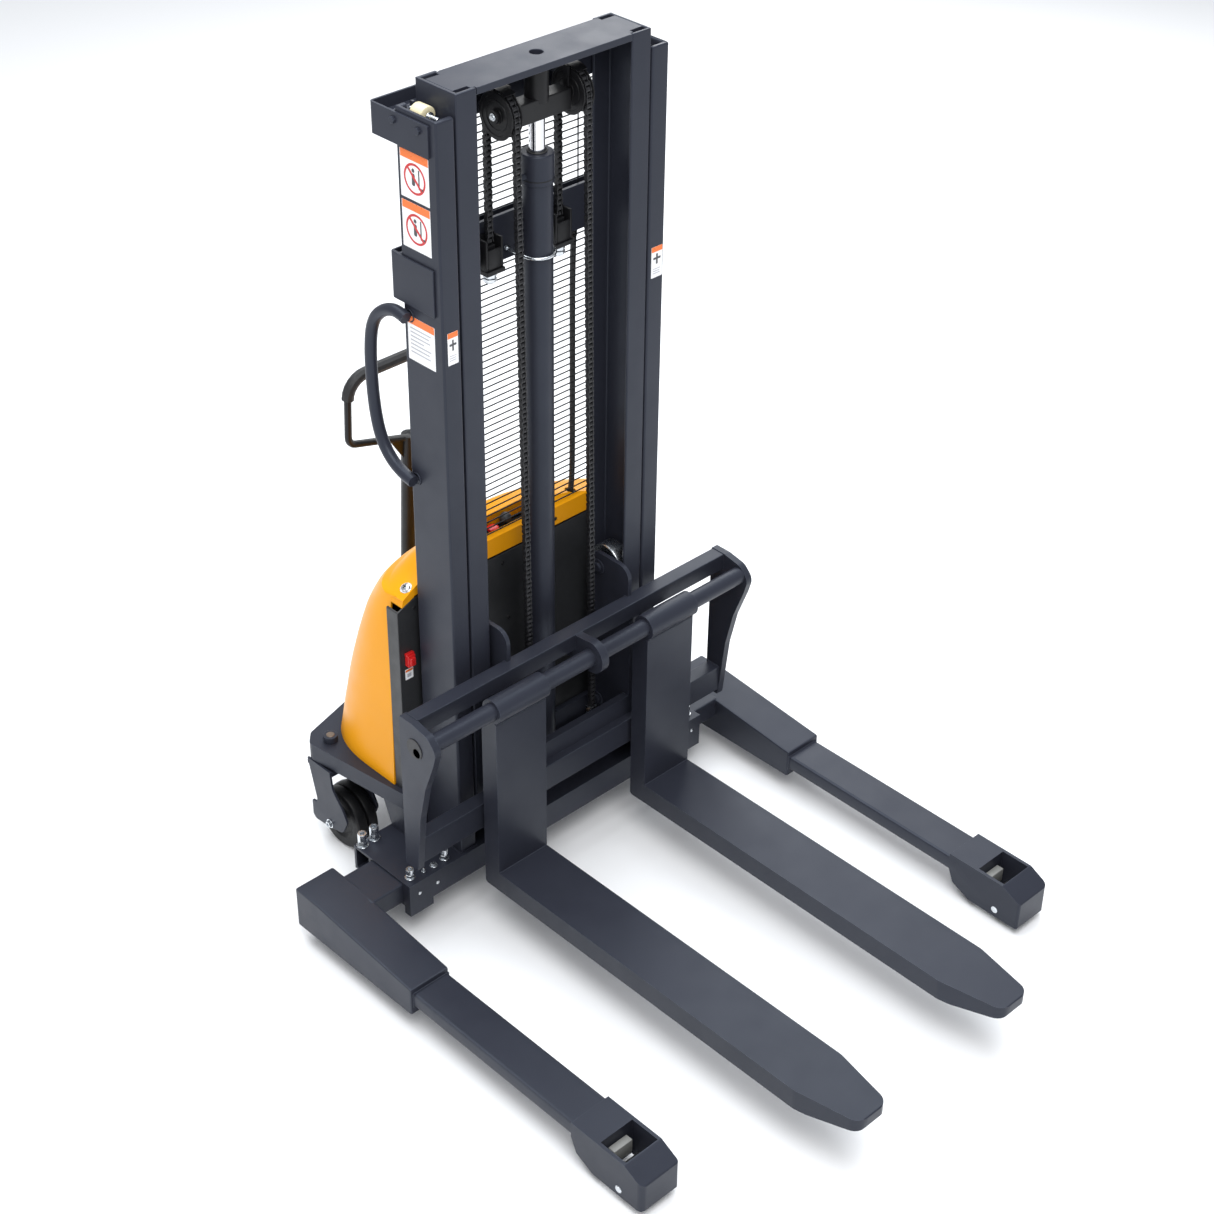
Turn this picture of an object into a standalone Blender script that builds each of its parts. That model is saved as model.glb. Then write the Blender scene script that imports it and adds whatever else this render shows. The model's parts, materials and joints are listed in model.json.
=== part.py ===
"""Walkie stacker: two-stage mast, adjustable forks, straddle legs, steered rear wheels and a tiller.

Everything is placed from the mast: x = 0 is the machine's middle plane, y = 0 is the front of the
mast and z = 0 is the floor. The forks point to -Y. The machine empty carries the whole assembly, and
its y offset centres the object's box on the origin. The mast stands a little raised, as it is shown.
"""

from math import cos, pi, radians, sin

import bmesh
import bpy
from mathutils import Matrix, Vector

NAME = "walkie_stacker"
MAST_FRONT_Y = 0.32165
GAP = 0.0003
SIDES = (("left", -1), ("right", 1))

# Outer mast
OUTER_X = 0.3295
OUTER_TOP = 2.0809
OUTER_DEPTH = 0.1283
OUTER_WEB = 0.009
OUTER_FLANGE = 0.012
OUTER_INSIDE_X = 0.2792
BAND_T = 0.0050
BAND_BEND_R = 0.009
RAIL_ROUND = 0.0054
BAND_FRONT_Y = 0.019
MID_BAND_Z = (1.6405, 1.750)
MID_BAND_REAR_Y = 0.160
TOP_BAND_Z = (2.000, 2.070)
TOP_BAND_REAR_Y = 0.205
BAND_BACK_T = 0.010
TRAY_FLOOR_Z = 2.0420

# Thrust rollers at the mast top
THRUST_X = 0.2975
THRUST_Z = 2.0690
THRUST_R = 0.0205
THRUST_PIN_R = 0.0060
THRUST_PIN_Y = (0.028, 0.114)
THRUST_Y = (0.0605, 0.0965)

# Inner mast
INNER_X = 0.2748
INNER_LIP_X = 0.2183
INNER_DEPTH = 0.1269
INNER_WALL = 0.008
STILE_ROUND = 0.0037
INNER_BOTTOM = 0.2160
INNER_TOP = 2.1260
TOP_PLATE_T = 0.0155

# Lift cylinder, crosshead and chains
CYL_Y = 0.0634
CYL_R = 0.0343
CYL_BORE_R = 0.0275
GLAND_Z = (1.838, 1.906)
GLAND_R = 0.0375
ROD_R = 0.0179
PISTON_BOTTOM_Z = 0.380
BEAM_Z = (1.983, 2.031)
BEAM_X = 0.080
BOSS_R = 0.0265
SHEAVE_X = 0.102
SHEAVE_Y = 0.0613
SHEAVE_Z = 2.0176
SHEAVE_BED_R = 0.0400
SHEAVE_RIM_R = 0.0530
SHEAVE_W = 0.030
SHEAVE_PIN_R = 0.010
CHAIN_W = 0.018
CHAIN_T = 0.013
CLEVIS_Y = -0.010
CLEVIS_Z = (0.379, 0.410)
ANCHOR_Z = 1.705

# Carriage, shaft and forks
BAR_Y = (-0.0707, -0.0303)
BAR_X = 0.502
TOP_BAR_Z = (0.668, 0.713)
LOW_BAR_Z = (0.286, 0.360)
END_X = (0.502, 0.5205)
END_OUTLINE = (
    (-0.0266, 0.271, 0.004), (-0.0266, 0.713, 0.003), (-0.073, 0.713, 0.010), (-0.1260, 0.703, 0.030),
    (-0.1560, 0.672, 0.030), (-0.1420, 0.625, 0.030), (-0.1120, 0.545, 0.060), (-0.0890, 0.445, 0.060),
    (-0.0700, 0.271, 0.004),
)
SHAFT_Y = -0.1227
SHAFT_Z = 0.6746
SHAFT_R = 0.0220
EYE_R = 0.0430
PLATE_X = (0.1930, 0.2040)
PLATE_TOP_Z = 0.792
ROLLER_Y = 0.0635
ROLLER_R = 0.0500
ROLLER_X = (0.2150, 0.2560)
ROLLER_Z = (0.345, 0.752)
FORK_X = (0.1684, 0.3249)
FORK_T = 0.0555
FORK_TOP_Z = 0.1876
FORK_TIP_Y = -1.2673
TIP_TAPER_Y = -1.105
TIP_NARROWING = 0.032
FORK_FACE_Y = -0.1376
FORK_SLEEVE_R = 0.0318

# Base beam, chassis and legs
BEAM_BOX_X = 0.503
BEAM_BOX_Y = (-0.010, 0.205)
BEAM_BOX_Z = (0.095, 0.168)
TUBE_Y = (0.016, 0.140)
TUBE_Z = (0.1015, 0.1610)
DECK_Z = 0.307
DECK_T = 0.010
SKIRT_Z = 0.258
DECK_HALF = (
    (0.392, 0.1389, 0), (0.4365, 0.458, 0.026), (0.406, 0.491, 0.018), (0.254, 0.536, 0.03),
    (0.100, 0.606, 0.05), (0.0, 0.624, 0),
)
LEG_X = (0.589, 0.7045)
LEG_REAR_Y = 0.1807
LEG_STEP_Y = -0.2551
LEG_TOP_Z = 0.165
LEG_BOTTOM_Z = 0.050
SLIM_X = (0.5915, 0.6974)
HOUSING_X = (0.5918, 0.7048)
LOAD_AXLE_Y = -0.9506
LOAD_R = 0.0390
LOAD_W = 0.070

# Rear steer wheels
KING_X = 0.389
KING_Y = 0.430
KING_R = 0.0150
REAR_WHEEL_X = 0.376
REAR_AXLE_Y = 0.392
REAR_R = 0.084
REAR_W = 0.064
FORK_ARM_IN = (0.333, 0.339)
FORK_ARM_OUT = (0.431, 0.437)

# Hood and controls: height, half-width, front y, shoulder y, rear y, squareness
HOOD_LEVELS = (
    (0.3075, 0.384, 0.183, 0.255, 0.545, 3.0),
    (0.450, 0.380, 0.183, 0.250, 0.519, 2.7),
    (0.600, 0.378, 0.183, 0.238, 0.468, 2.6),
    (0.750, 0.373, 0.183, 0.213, 0.398, 2.6),
    (0.830, 0.366, 0.183, 0.196, 0.349, 2.5),
    (0.862, 0.362, 0.183, 0.190, 0.322, 2.3),
    (0.868, 0.362, 0.1413, 0.160, 0.316, 2.2),
    (0.895, 0.315, 0.1413, 0.155, 0.297, 2.2),
    (0.918, 0.235, 0.1413, 0.155, 0.278, 2.2),
    (0.934, 0.160, 0.158, 0.168, 0.262, 2.1),
    (0.944, 0.070, 0.180, 0.185, 0.245, 2.0),
)
HOOD_WALL = 0.005
HOOD_STEPS = 20
LIP_Z = 0.865
CORNER_OUT = (0.3795, 0.8415)
CORNER_IN = (0.3285, 0.8615)
PANEL_Y = (0.1413, 0.1825)
TRAY_X = (-0.150, 0.090)
TRAY_Y = (0.153, 0.197)
TRAY_Z = 0.888
HANDLE_R = 0.0142

CONTROLS = (
    ("lever", (-0.006, 0.181), 0.0100),
    ("key", (-0.012, 0.1605), 0.0060),
    ("stop", (-0.052, 0.175), 0.0113),
)

# Tiller
TILLER_Y = 0.585
TILT_Z = 0.430
TILLER_LEAN = radians(3.8)
LOOP_HALF = 0.190
LOOP_LOW = 0.560
LOOP_HIGH = 0.800

SLATE = (0.075, 0.082, 0.098)
BLACK = (0.014, 0.014, 0.016)
STEEL = (0.62, 0.64, 0.66)
AMBER = (0.86, 0.42, 0.035)
RED = (0.55, 0.02, 0.02)
CREAM = (0.80, 0.74, 0.55)
RUBBER = (0.020, 0.020, 0.022)


def empty_scene():
    for obj in list(bpy.data.objects):
        bpy.data.objects.remove(obj, do_unlink=True)


def new_collection(name):
    made = bpy.data.collections.new(name)
    bpy.context.scene.collection.children.link(made)
    return made


empty_scene()
PARTS = new_collection(NAME)
CUTTERS = new_collection(NAME + "_cutters")


def material(name, colour, roughness, metallic):
    mat = bpy.data.materials.new(name)
    mat.use_nodes = True
    shader = mat.node_tree.nodes["Principled BSDF"]
    shader.inputs["Base Color"].default_value = (*colour, 1.0)
    shader.inputs["Roughness"].default_value = roughness
    shader.inputs["Metallic"].default_value = metallic
    return mat


def paint(obj, colour, roughness=0.45, metallic=0.0):
    obj.data.materials.clear()
    obj.data.materials.append(material(obj.name + "_finish", colour, roughness, metallic))
    return obj


def empty(name, location, parent=None):
    obj = bpy.data.objects.new(name, None)
    PARTS.objects.link(obj)
    obj.location = location
    obj.parent = parent
    return obj


def add_mesh(name, bm, location=(0, 0, 0), parent=None):
    bmesh.ops.recalc_face_normals(bm, faces=bm.faces)
    data = bpy.data.meshes.new(name)
    bm.to_mesh(data)
    bm.free()
    obj = bpy.data.objects.new(name, data)
    PARTS.objects.link(obj)
    obj.location = location
    obj.parent = parent or MACHINE
    return obj


def box(name, x, y, z, parent=None, origin=(0, 0, 0)):
    """A block between the given limits, in the mast's coordinates."""
    bm = bmesh.new()
    size = Vector((x[1] - x[0], y[1] - y[0], z[1] - z[0]))
    centre = Vector(((x[0] + x[1]) / 2, (y[0] + y[1]) / 2, (z[0] + z[1]) / 2)) - Vector(origin)
    bmesh.ops.create_cube(bm, size=1.0, matrix=Matrix.Translation(centre) @ Matrix.Diagonal((*size, 1)))
    return add_mesh(name, bm, origin if parent is None else (0, 0, 0), parent)


AXIS_TURN = {
    "x": Matrix.Rotation(pi / 2, 4, "Z") @ Matrix.Rotation(pi / 2, 4, "X"),
    "y": Matrix.Rotation(pi / 2, 4, "X"),
    "z": Matrix.Identity(4),
}


def rod(name, centre, axis, radius, length, sides=20, origin=(0, 0, 0), parent=None):
    """A round bar with its middle at centre, along one axis."""
    bm = bmesh.new()
    turn = {
        "x": Matrix.Rotation(pi / 2, 4, "Y"),
        "y": Matrix.Rotation(pi / 2, 4, "X"),
        "z": Matrix.Identity(4),
    }
    place = Matrix.Translation(Vector(centre) - Vector(origin)) @ turn[axis]
    bmesh.ops.create_cone(
        bm, cap_ends=True, segments=sides, radius1=radius, radius2=radius, depth=length, matrix=place
    )
    obj = add_mesh(name, bm, origin if parent is None else (0, 0, 0), parent)
    smooth(obj)
    return obj


def smooth(obj, angle=40):
    obj.data.shade_smooth()
    obj.data.set_sharp_from_angle(angle=radians(angle))
    return obj


def plate(name, outlines, axis, low, high, origin=(0, 0, 0), parent=None):
    """A flat outline, and any holes, extruded along one axis. Outlines are in the other two axes."""
    curve = bpy.data.curves.new(name, "CURVE")
    curve.dimensions = "2D"
    curve.fill_mode = "BOTH"
    curve.extrude = (high - low) / 2
    for outline in outlines:
        spline = curve.splines.new("POLY")
        spline.points.add(len(outline) - 1)
        for point, (u, v) in zip(spline.points, outline):
            point.co = (u, v, 0, 1)
        spline.use_cyclic_u = True
    holder = bpy.data.objects.new(name + "_curve", curve)
    PARTS.objects.link(holder)
    graph = bpy.context.evaluated_depsgraph_get()
    data = bpy.data.meshes.new_from_object(holder.evaluated_get(graph))
    bpy.data.objects.remove(holder, do_unlink=True)
    bm = bmesh.new()
    bm.from_mesh(data)
    bmesh.ops.remove_doubles(bm, verts=bm.verts, dist=1e-5)
    middle = (low + high) / 2
    shift = {"x": (middle, 0, 0), "y": (0, middle, 0), "z": (0, 0, middle)}[axis]
    place = Matrix.Translation(Vector(shift) - Vector(origin)) @ AXIS_TURN[axis]
    bmesh.ops.transform(bm, matrix=place, verts=bm.verts)
    return add_mesh(name, bm, origin if parent is None else (0, 0, 0), parent)


def turned(name, profile, location, axis, parent=None, steps=28):
    """A closed profile (radius, height) turned about its own axis."""
    bm = bmesh.new()
    verts = [bm.verts.new((r, 0, h)) for r, h in profile]
    for i in range(len(verts) - 1):
        bm.edges.new((verts[i], verts[i + 1]))
    if profile[0][0] > 1e-6:
        bm.edges.new((verts[-1], verts[0]))
    data = bpy.data.meshes.new(name)
    bm.to_mesh(data)
    bm.free()
    obj = bpy.data.objects.new(name, data)
    PARTS.objects.link(obj)
    obj.location = location
    obj.parent = parent or MACHINE
    if axis == "x":
        obj.rotation_euler = (0, pi / 2, 0)
    if axis == "y":
        obj.rotation_euler = (pi / 2, 0, 0)
    screw = obj.modifiers.new("Screw", "SCREW")
    screw.axis = "Z"
    screw.steps = steps
    screw.render_steps = steps
    screw.use_merge_vertices = True
    screw.merge_threshold = 0.00005
    screw.use_normal_calculate = True
    screw.use_smooth_shade = True
    return obj


def tube(name, points, radius, parent=None, sides=4, cyclic=False):
    """A round tube along a list of points."""
    curve = bpy.data.curves.new(name, "CURVE")
    curve.dimensions = "3D"
    curve.bevel_depth = radius
    curve.bevel_resolution = sides
    curve.use_fill_caps = True
    spline = curve.splines.new("POLY")
    spline.points.add(len(points) - 1)
    for point, co in zip(spline.points, points):
        point.co = (*co, 1)
    spline.use_cyclic_u = cyclic
    obj = bpy.data.objects.new(name, curve)
    PARTS.objects.link(obj)
    obj.parent = parent or MACHINE
    return obj


def tube_mesh(name, points, radius, parent=None, sides=4, cyclic=False):
    """The same tube as a mesh, so that it can be joined to other metal."""
    holder = tube(name + "_curve", points, radius, parent, sides, cyclic)
    graph = bpy.context.evaluated_depsgraph_get()
    data = bpy.data.meshes.new_from_object(holder.evaluated_get(graph))
    bpy.data.objects.remove(holder, do_unlink=True)
    bm = bmesh.new()
    bm.from_mesh(data)
    bmesh.ops.remove_doubles(bm, verts=bm.verts, dist=1e-5)
    obj = add_mesh(name, bm, (0, 0, 0), parent)
    return smooth(obj, 50)


def boolean(target, tool, operation):
    modifier = target.modifiers.new(tool.name, "BOOLEAN")
    modifier.operation = operation
    modifier.solver = "EXACT"
    modifier.object = tool
    PARTS.objects.unlink(tool)
    CUTTERS.objects.link(tool)
    tool.hide_render = True
    tool.display_type = "WIRE"
    return target


def cut(target, *tools):
    for tool in tools:
        boolean(target, tool, "DIFFERENCE")
    return target


def fuse(target, *tools):
    for tool in tools:
        boolean(target, tool, "UNION")
    return target


def round_edges(obj, width, segments=2, angle=40):
    bevel = obj.modifiers.new("Bevel", "BEVEL")
    bevel.width = width
    bevel.segments = segments
    bevel.limit_method = "ANGLE"
    bevel.angle_limit = radians(angle)
    return smooth(obj, angle)


def arc(centre, radius, start, end, steps):
    """Points on a circle from one angle to another, in degrees."""
    out = []
    for i in range(steps + 1):
        a = radians(start + (end - start) * i / steps)
        out.append((centre[0] + radius * cos(a), centre[1] + radius * sin(a)))
    return out


def filleted(corners, steps=5):
    """A polygon whose corners (u, v, radius) are rounded."""
    out = []
    count = len(corners)
    for i, (u, v, r) in enumerate(corners):
        here = Vector((u, v))
        if r <= 0:
            out.append((u, v))
            continue
        back = (Vector(corners[i - 1][:2]) - here).normalized()
        ahead = (Vector(corners[(i + 1) % count][:2]) - here).normalized()
        half = back.angle(ahead) / 2
        reach = r / max(1e-6, abs(sin(half) / cos(half)))
        centre = here + (back + ahead).normalized() * (r / sin(half))
        first = here + back * reach - centre
        last = here + ahead * reach - centre
        sweep = first.angle_signed(last)
        for k in range(steps + 1):
            a = -sweep * k / steps
            out.append((
                centre.x + first.x * cos(a) - first.y * sin(a),
                centre.y + first.x * sin(a) + first.y * cos(a),
            ))
    return out


def mirror_x(points, side):
    """An outline in x and another axis, moved to the named side."""
    return [(side * u, v) for u, v in points]


def span(side, low, high):
    """Limits along x on the named side, in ascending order."""
    return (low, high) if side > 0 else (-high, -low)


MACHINE = empty("machine", (0, MAST_FRONT_Y, 0))


# Outer mast

def outer_rail(word, side):
    inner = OUTER_X - OUTER_WEB
    outline = [
        (OUTER_INSIDE_X, 0),
        (OUTER_X, 0),
        (OUTER_X, OUTER_DEPTH),
        (OUTER_INSIDE_X, OUTER_DEPTH),
        (OUTER_INSIDE_X, OUTER_DEPTH - OUTER_FLANGE),
        (inner, OUTER_DEPTH - OUTER_FLANGE),
        (inner, OUTER_FLANGE),
        (OUTER_INSIDE_X, OUTER_FLANGE),
    ]
    rail = plate(
        "outer_mast_" + word, [mirror_x(outline, side)], "z", BEAM_BOX_Z[1] + GAP, OUTER_TOP
    )
    paint(round_edges(rail, RAIL_ROUND, 3), SLATE)


def band(name, z, rear_y):
    """A crossmember bent round the sides and back of both rails, open above and below."""
    near = OUTER_X + GAP
    far = near + BAND_T
    back = OUTER_DEPTH + GAP
    outline = filleted([
        (-far, BAND_FRONT_Y, 0), (-near, BAND_FRONT_Y, 0), (-near, back, 0), (near, back, 0),
        (near, BAND_FRONT_Y, 0), (far, BAND_FRONT_Y, 0), (far, rear_y, BAND_BEND_R),
        (-far, rear_y, BAND_BEND_R),
    ], 4)
    return plate(name, [outline], "z", *z)


def crossmembers():
    """The middle one is a boxed beam; the top one is a tray whose floor holds the thrust pins."""
    mid = band("mid_crossmember", MID_BAND_Z, MID_BAND_REAR_Y)
    near = OUTER_X + GAP
    front = OUTER_DEPTH + GAP
    guard_slot = box(
        "guard_slot",
        (-near + 0.004, near - 0.004),
        (front + BAND_BACK_T, MID_BAND_REAR_Y - BAND_T),
        (MID_BAND_Z[0] - 0.01, MID_BAND_Z[1] + 0.01),
    )
    cut(mid, guard_slot)
    paint(smooth(mid), SLATE)
    top = band("top_crossmember", TOP_BAND_Z, TOP_BAND_REAR_Y)
    tray_x = (-near + 0.0005, near - 0.0005)
    above = box(
        "tray_above", tray_x, (front + 0.006, TOP_BAND_REAR_Y - BAND_T), (TRAY_FLOOR_Z, TOP_BAND_Z[1] + 0.01)
    )
    below = box(
        "tray_below", tray_x, (front + 0.006, TOP_BAND_REAR_Y - BAND_T),
        (TOP_BAND_Z[0] - 0.01, TRAY_FLOOR_Z - 0.006),
    )
    lip = box("tray_lip", (-0.262, 0.262), (front - 0.01, front + 0.02), (TRAY_FLOOR_Z, TOP_BAND_Z[1] + 0.01))
    cut(top, above, below, lip)
    for word, side in SIDES:
        pin = rod(
            "thrust_pin_" + word, (side * THRUST_X, sum(THRUST_PIN_Y) / 2, THRUST_Z), "y",
            THRUST_PIN_R, THRUST_PIN_Y[1] - THRUST_PIN_Y[0], 14,
        )
        saddle = box(
            "thrust_saddle_" + word,
            span(side, THRUST_X - 0.008, THRUST_X + 0.008),
            (0.105, front + 0.003),
            (TRAY_FLOOR_Z - 0.004, THRUST_Z),
        )
        rail_slot = box(
            "rail_slot_" + word,
            span(side, THRUST_X - 0.0085, THRUST_X + 0.0085),
            (OUTER_DEPTH - OUTER_FLANGE - 0.002, OUTER_DEPTH + 0.002),
            (TRAY_FLOOR_Z - 0.0045, OUTER_TOP + 0.010),
        )
        tray_slot = box(
            "tray_slot_" + word,
            span(side, 0.238, 0.284),
            (0.142, 0.186),
            (TRAY_FLOOR_Z - 0.02, TRAY_FLOOR_Z + 0.01),
        )
        cut(bpy.data.objects["outer_mast_" + word], rail_slot)
        cut(top, tray_slot)
        fuse(top, saddle, pin)
    paint(smooth(top), SLATE)


def thrust_roller(word, side):
    half = (THRUST_Y[1] - THRUST_Y[0]) / 2
    bore = THRUST_PIN_R + GAP
    profile = [
        (bore, half), (THRUST_R - 0.003, half), (THRUST_R, half - 0.003),
        (THRUST_R, 0.003 - half), (THRUST_R - 0.003, -half), (bore, -half),
    ]
    centre = (side * THRUST_X, sum(THRUST_Y) / 2, THRUST_Z)
    paint(turned("thrust_roller_" + word, profile, centre, "y", steps=20), CREAM, 0.5)


def grid_plate(name, xs, zs, is_open, y, thickness):
    """A flat grid across x and z: every cell between the lines is metal unless it is open."""
    bm = bmesh.new()
    corners = {}
    for i, x in enumerate(xs):
        for k, z in enumerate(zs):
            corners[i, k] = bm.verts.new((x, y, z))
    faces = []
    for i in range(len(xs) - 1):
        for k in range(len(zs) - 1):
            if not is_open(i, k):
                ring = [corners[i, k], corners[i + 1, k], corners[i + 1, k + 1], corners[i, k + 1]]
                faces.append(bm.faces.new(ring))
    extruded = bmesh.ops.extrude_face_region(bm, geom=faces)
    moved = [part for part in extruded["geom"] if isinstance(part, bmesh.types.BMVert)]
    bmesh.ops.translate(bm, verts=moved, vec=(0, thickness, 0))
    return add_mesh(name, bm)


def wire_guard():
    """Level wires close together between two upright ones, behind the mast."""
    wire = 0.003
    pitch = 0.0172
    low = 0.935
    rows = 61
    xs = []
    for x in (-0.268, 0.265):
        xs += [x, x + wire]
    zs = []
    for row in range(rows + 1):
        zs += [low + row * pitch, low + row * pitch + wire]
    y = OUTER_DEPTH + GAP + BAND_BACK_T + GAP
    guard = grid_plate("wire_guard", xs, zs, lambda i, k: i % 2 == 1 and k % 2 == 1, y, wire)
    paint(guard, BLACK, 0.5, 0.2)


def lift_cylinder():
    bottom = BEAM_BOX_Z[1] + GAP
    floor = bottom + 0.030
    top = GLAND_Z[0] - GAP
    profile = [
        (0.0, bottom), (CYL_R, bottom), (CYL_R, top), (CYL_BORE_R, top), (CYL_BORE_R, floor), (0.0, floor),
    ]
    barrel = turned("lift_cylinder", profile, (0, CYL_Y, 0), "z", steps=32)
    barrel.modifiers["Screw"].use_normal_flip = True
    paint(barrel, SLATE, 0.4)
    bore = ROD_R + GAP
    gland = [
        (GLAND_R - 0.002, GLAND_Z[1]), (GLAND_R, GLAND_Z[1] - 0.002), (GLAND_R, GLAND_Z[0]),
        (bore, GLAND_Z[0]), (bore, GLAND_Z[1]),
    ]
    paint(turned("cylinder_gland", gland, (0, CYL_Y, 0), "z", steps=32), BLACK, 0.35, 0.3)


def chain_anchor(word, side):
    """A threaded rod with its nuts, held by a bracket on the middle crossmember."""
    x = side * SHEAVE_X
    y = SHEAVE_Y + SHEAVE_BED_R + CHAIN_T / 2
    top = ANCHOR_Z - GAP
    anchor = rod("chain_anchor_" + word, (x, y, top - 0.045), "z", 0.0065, 0.090, 14)
    nut_low = rod("anchor_nut_low_" + word, (x, y, top - 0.074), "z", 0.0125, 0.012, 6)
    nut_high = rod("anchor_nut_high_" + word, (x, y, top - 0.042), "z", 0.0125, 0.012, 6)
    head = box(
        "anchor_head_" + word, (x - 0.010, x + 0.010), (y - 0.008, y + 0.008), (top - 0.022, top)
    )
    shelf = box(
        "anchor_shelf_" + word,
        (x - 0.026, x + 0.026),
        (y - 0.022, OUTER_DEPTH - GAP),
        (top - 0.064, top - 0.054),
    )
    riser = box(
        "anchor_riser_" + word,
        (x - 0.026, x + 0.026),
        (OUTER_DEPTH - 0.009, OUTER_DEPTH - GAP),
        (top - 0.060, top + 0.020),
    )
    fuse(anchor, nut_low, nut_high, head, shelf, riser)
    paint(smooth(anchor), STEEL, 0.35, 0.9)


def grab_handle():
    x = -(OUTER_X + HANDLE_R + GAP)
    path = [
        (0.103, 1.613), (0.120, 1.617), (0.140, 1.618), (0.164, 1.611), (0.187, 1.597),
        (0.207, 1.577), (0.221, 1.550), (0.229, 1.515), (0.233, 1.470), (0.233, 1.420),
        (0.231, 1.375), (0.226, 1.332), (0.216, 1.290), (0.199, 1.256), (0.175, 1.231),
        (0.150, 1.217), (0.125, 1.209), (0.103, 1.205),
    ]
    handle = tube("grab_handle", [(x, y, z) for y, z in path], HANDLE_R, sides=3)
    paint(handle, SLATE)


def lift_hose():
    x = 0.192
    path = [
        (x, 0.205, 0.700), (x, 0.204, 0.810), (x, 0.195, 0.866), (x, 0.173, 0.890),
        (x, 0.164, 0.930), (x, 0.159, 1.000),
        (x, 0.158, 1.300), (x, 0.158, 1.500), (x, 0.154, MID_BAND_Z[0] - GAP),
    ]
    paint(tube("lift_hose", path, 0.0070, sides=2), RUBBER, 0.6)


# Base, chassis and covers

def base_beam():
    beam = box("base_beam", (-BEAM_BOX_X, BEAM_BOX_X), BEAM_BOX_Y, BEAM_BOX_Z)
    tools = []
    for word, side in SIDES:
        foot = box(
            "beam_foot_" + word, span(side, 0.430, BEAM_BOX_X), (BEAM_BOX_Y[0], 0.012), (0.072, 0.120)
        )
        fuse(beam, foot)
        tools.append(box(
            "beam_socket_" + word,
            span(side, 0.010, BEAM_BOX_X + 0.01),
            (TUBE_Y[0] - GAP, TUBE_Y[1] + GAP),
            (TUBE_Z[0] - GAP, TUBE_Z[1] + GAP),
        ))
        tools.append(box(
            "beam_rear_cell_" + word,
            span(side, 0.010, BEAM_BOX_X + 0.01),
            (TUBE_Y[1] + 0.008, BEAM_BOX_Y[1] - 0.008),
            (BEAM_BOX_Z[0] + 0.007, BEAM_BOX_Z[1] - 0.007),
        ))
    cut(beam, *tools)
    paint(smooth(beam), SLATE)


def deck_outline(inset):
    """The deck seen from above, drawn in by the inset all round."""
    half = [(max(x - inset, 0.0), y - (inset if y > 0.2 else -inset), r) for x, y, r in DECK_HALF]
    corners = half + [(-x, y, r) for x, y, r in reversed(half[:-1])]
    return filleted(corners, 4)


def chassis_frame():
    deck = plate("chassis_frame", [deck_outline(0.0)], "z", SKIRT_Z, DECK_Z)
    hollow = plate("deck_hollow", [deck_outline(0.007)], "z", SKIRT_Z - 0.02, DECK_Z - DECK_T)
    cut(deck, hollow)
    wall = box(
        "deck_wall",
        (-0.390, 0.390),
        (OUTER_DEPTH + GAP, OUTER_DEPTH + GAP + 0.0103),
        (BEAM_BOX_Z[1] + GAP, DECK_Z),
    )
    fuse(deck, wall)
    for word, side in SIDES:
        gusset = plate(
            "deck_gusset_" + word,
            [[(0.132, BEAM_BOX_Z[1] + GAP), (0.200, BEAM_BOX_Z[1] + GAP), (0.255, DECK_Z - 0.002),
              (0.132, DECK_Z - 0.002)]],
            "x", *span(side, 0.375, 0.386),
        )
        fuse(deck, gusset)
        bore = rod(
            "king_bore_" + word, (side * KING_X, KING_Y, DECK_Z), "z", KING_R + GAP, 0.06, 20
        )
        cut(deck, bore)
    post_hole = rod("post_bore", (0, TILLER_Y, DECK_Z), "z", 0.0180 + GAP, 0.06, 20)
    cut(deck, post_hole)
    paint(smooth(deck), SLATE)


def hood_ring(level, inset):
    """One level of the hood: the two front corners, then the rounded sides and back."""
    z, half, front, shoulder, rear, square = level
    half -= inset
    rear -= inset
    points = [(-half, front), (half, front)]
    power = 2.0 / square
    for i in range(HOOD_STEPS + 1):
        a = pi * i / HOOD_STEPS
        x = half * (1 if cos(a) >= 0 else -1) * abs(cos(a)) ** power
        y = shoulder + (rear - shoulder) * abs(sin(a)) ** power
        points.append((x, y))
    return [(x, y, z) for x, y in points]


def loft(name, rings):
    bm = bmesh.new()
    loops = [[bm.verts.new(co) for co in ring] for ring in rings]
    count = len(loops[0])
    for low, high in zip(loops[:-1], loops[1:]):
        for i in range(count):
            j = (i + 1) % count
            bm.faces.new((low[i], low[j], high[j], high[i]))
    bm.faces.new(list(reversed(loops[0])))
    bm.faces.new(loops[-1])
    return add_mesh(name, bm)


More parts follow.
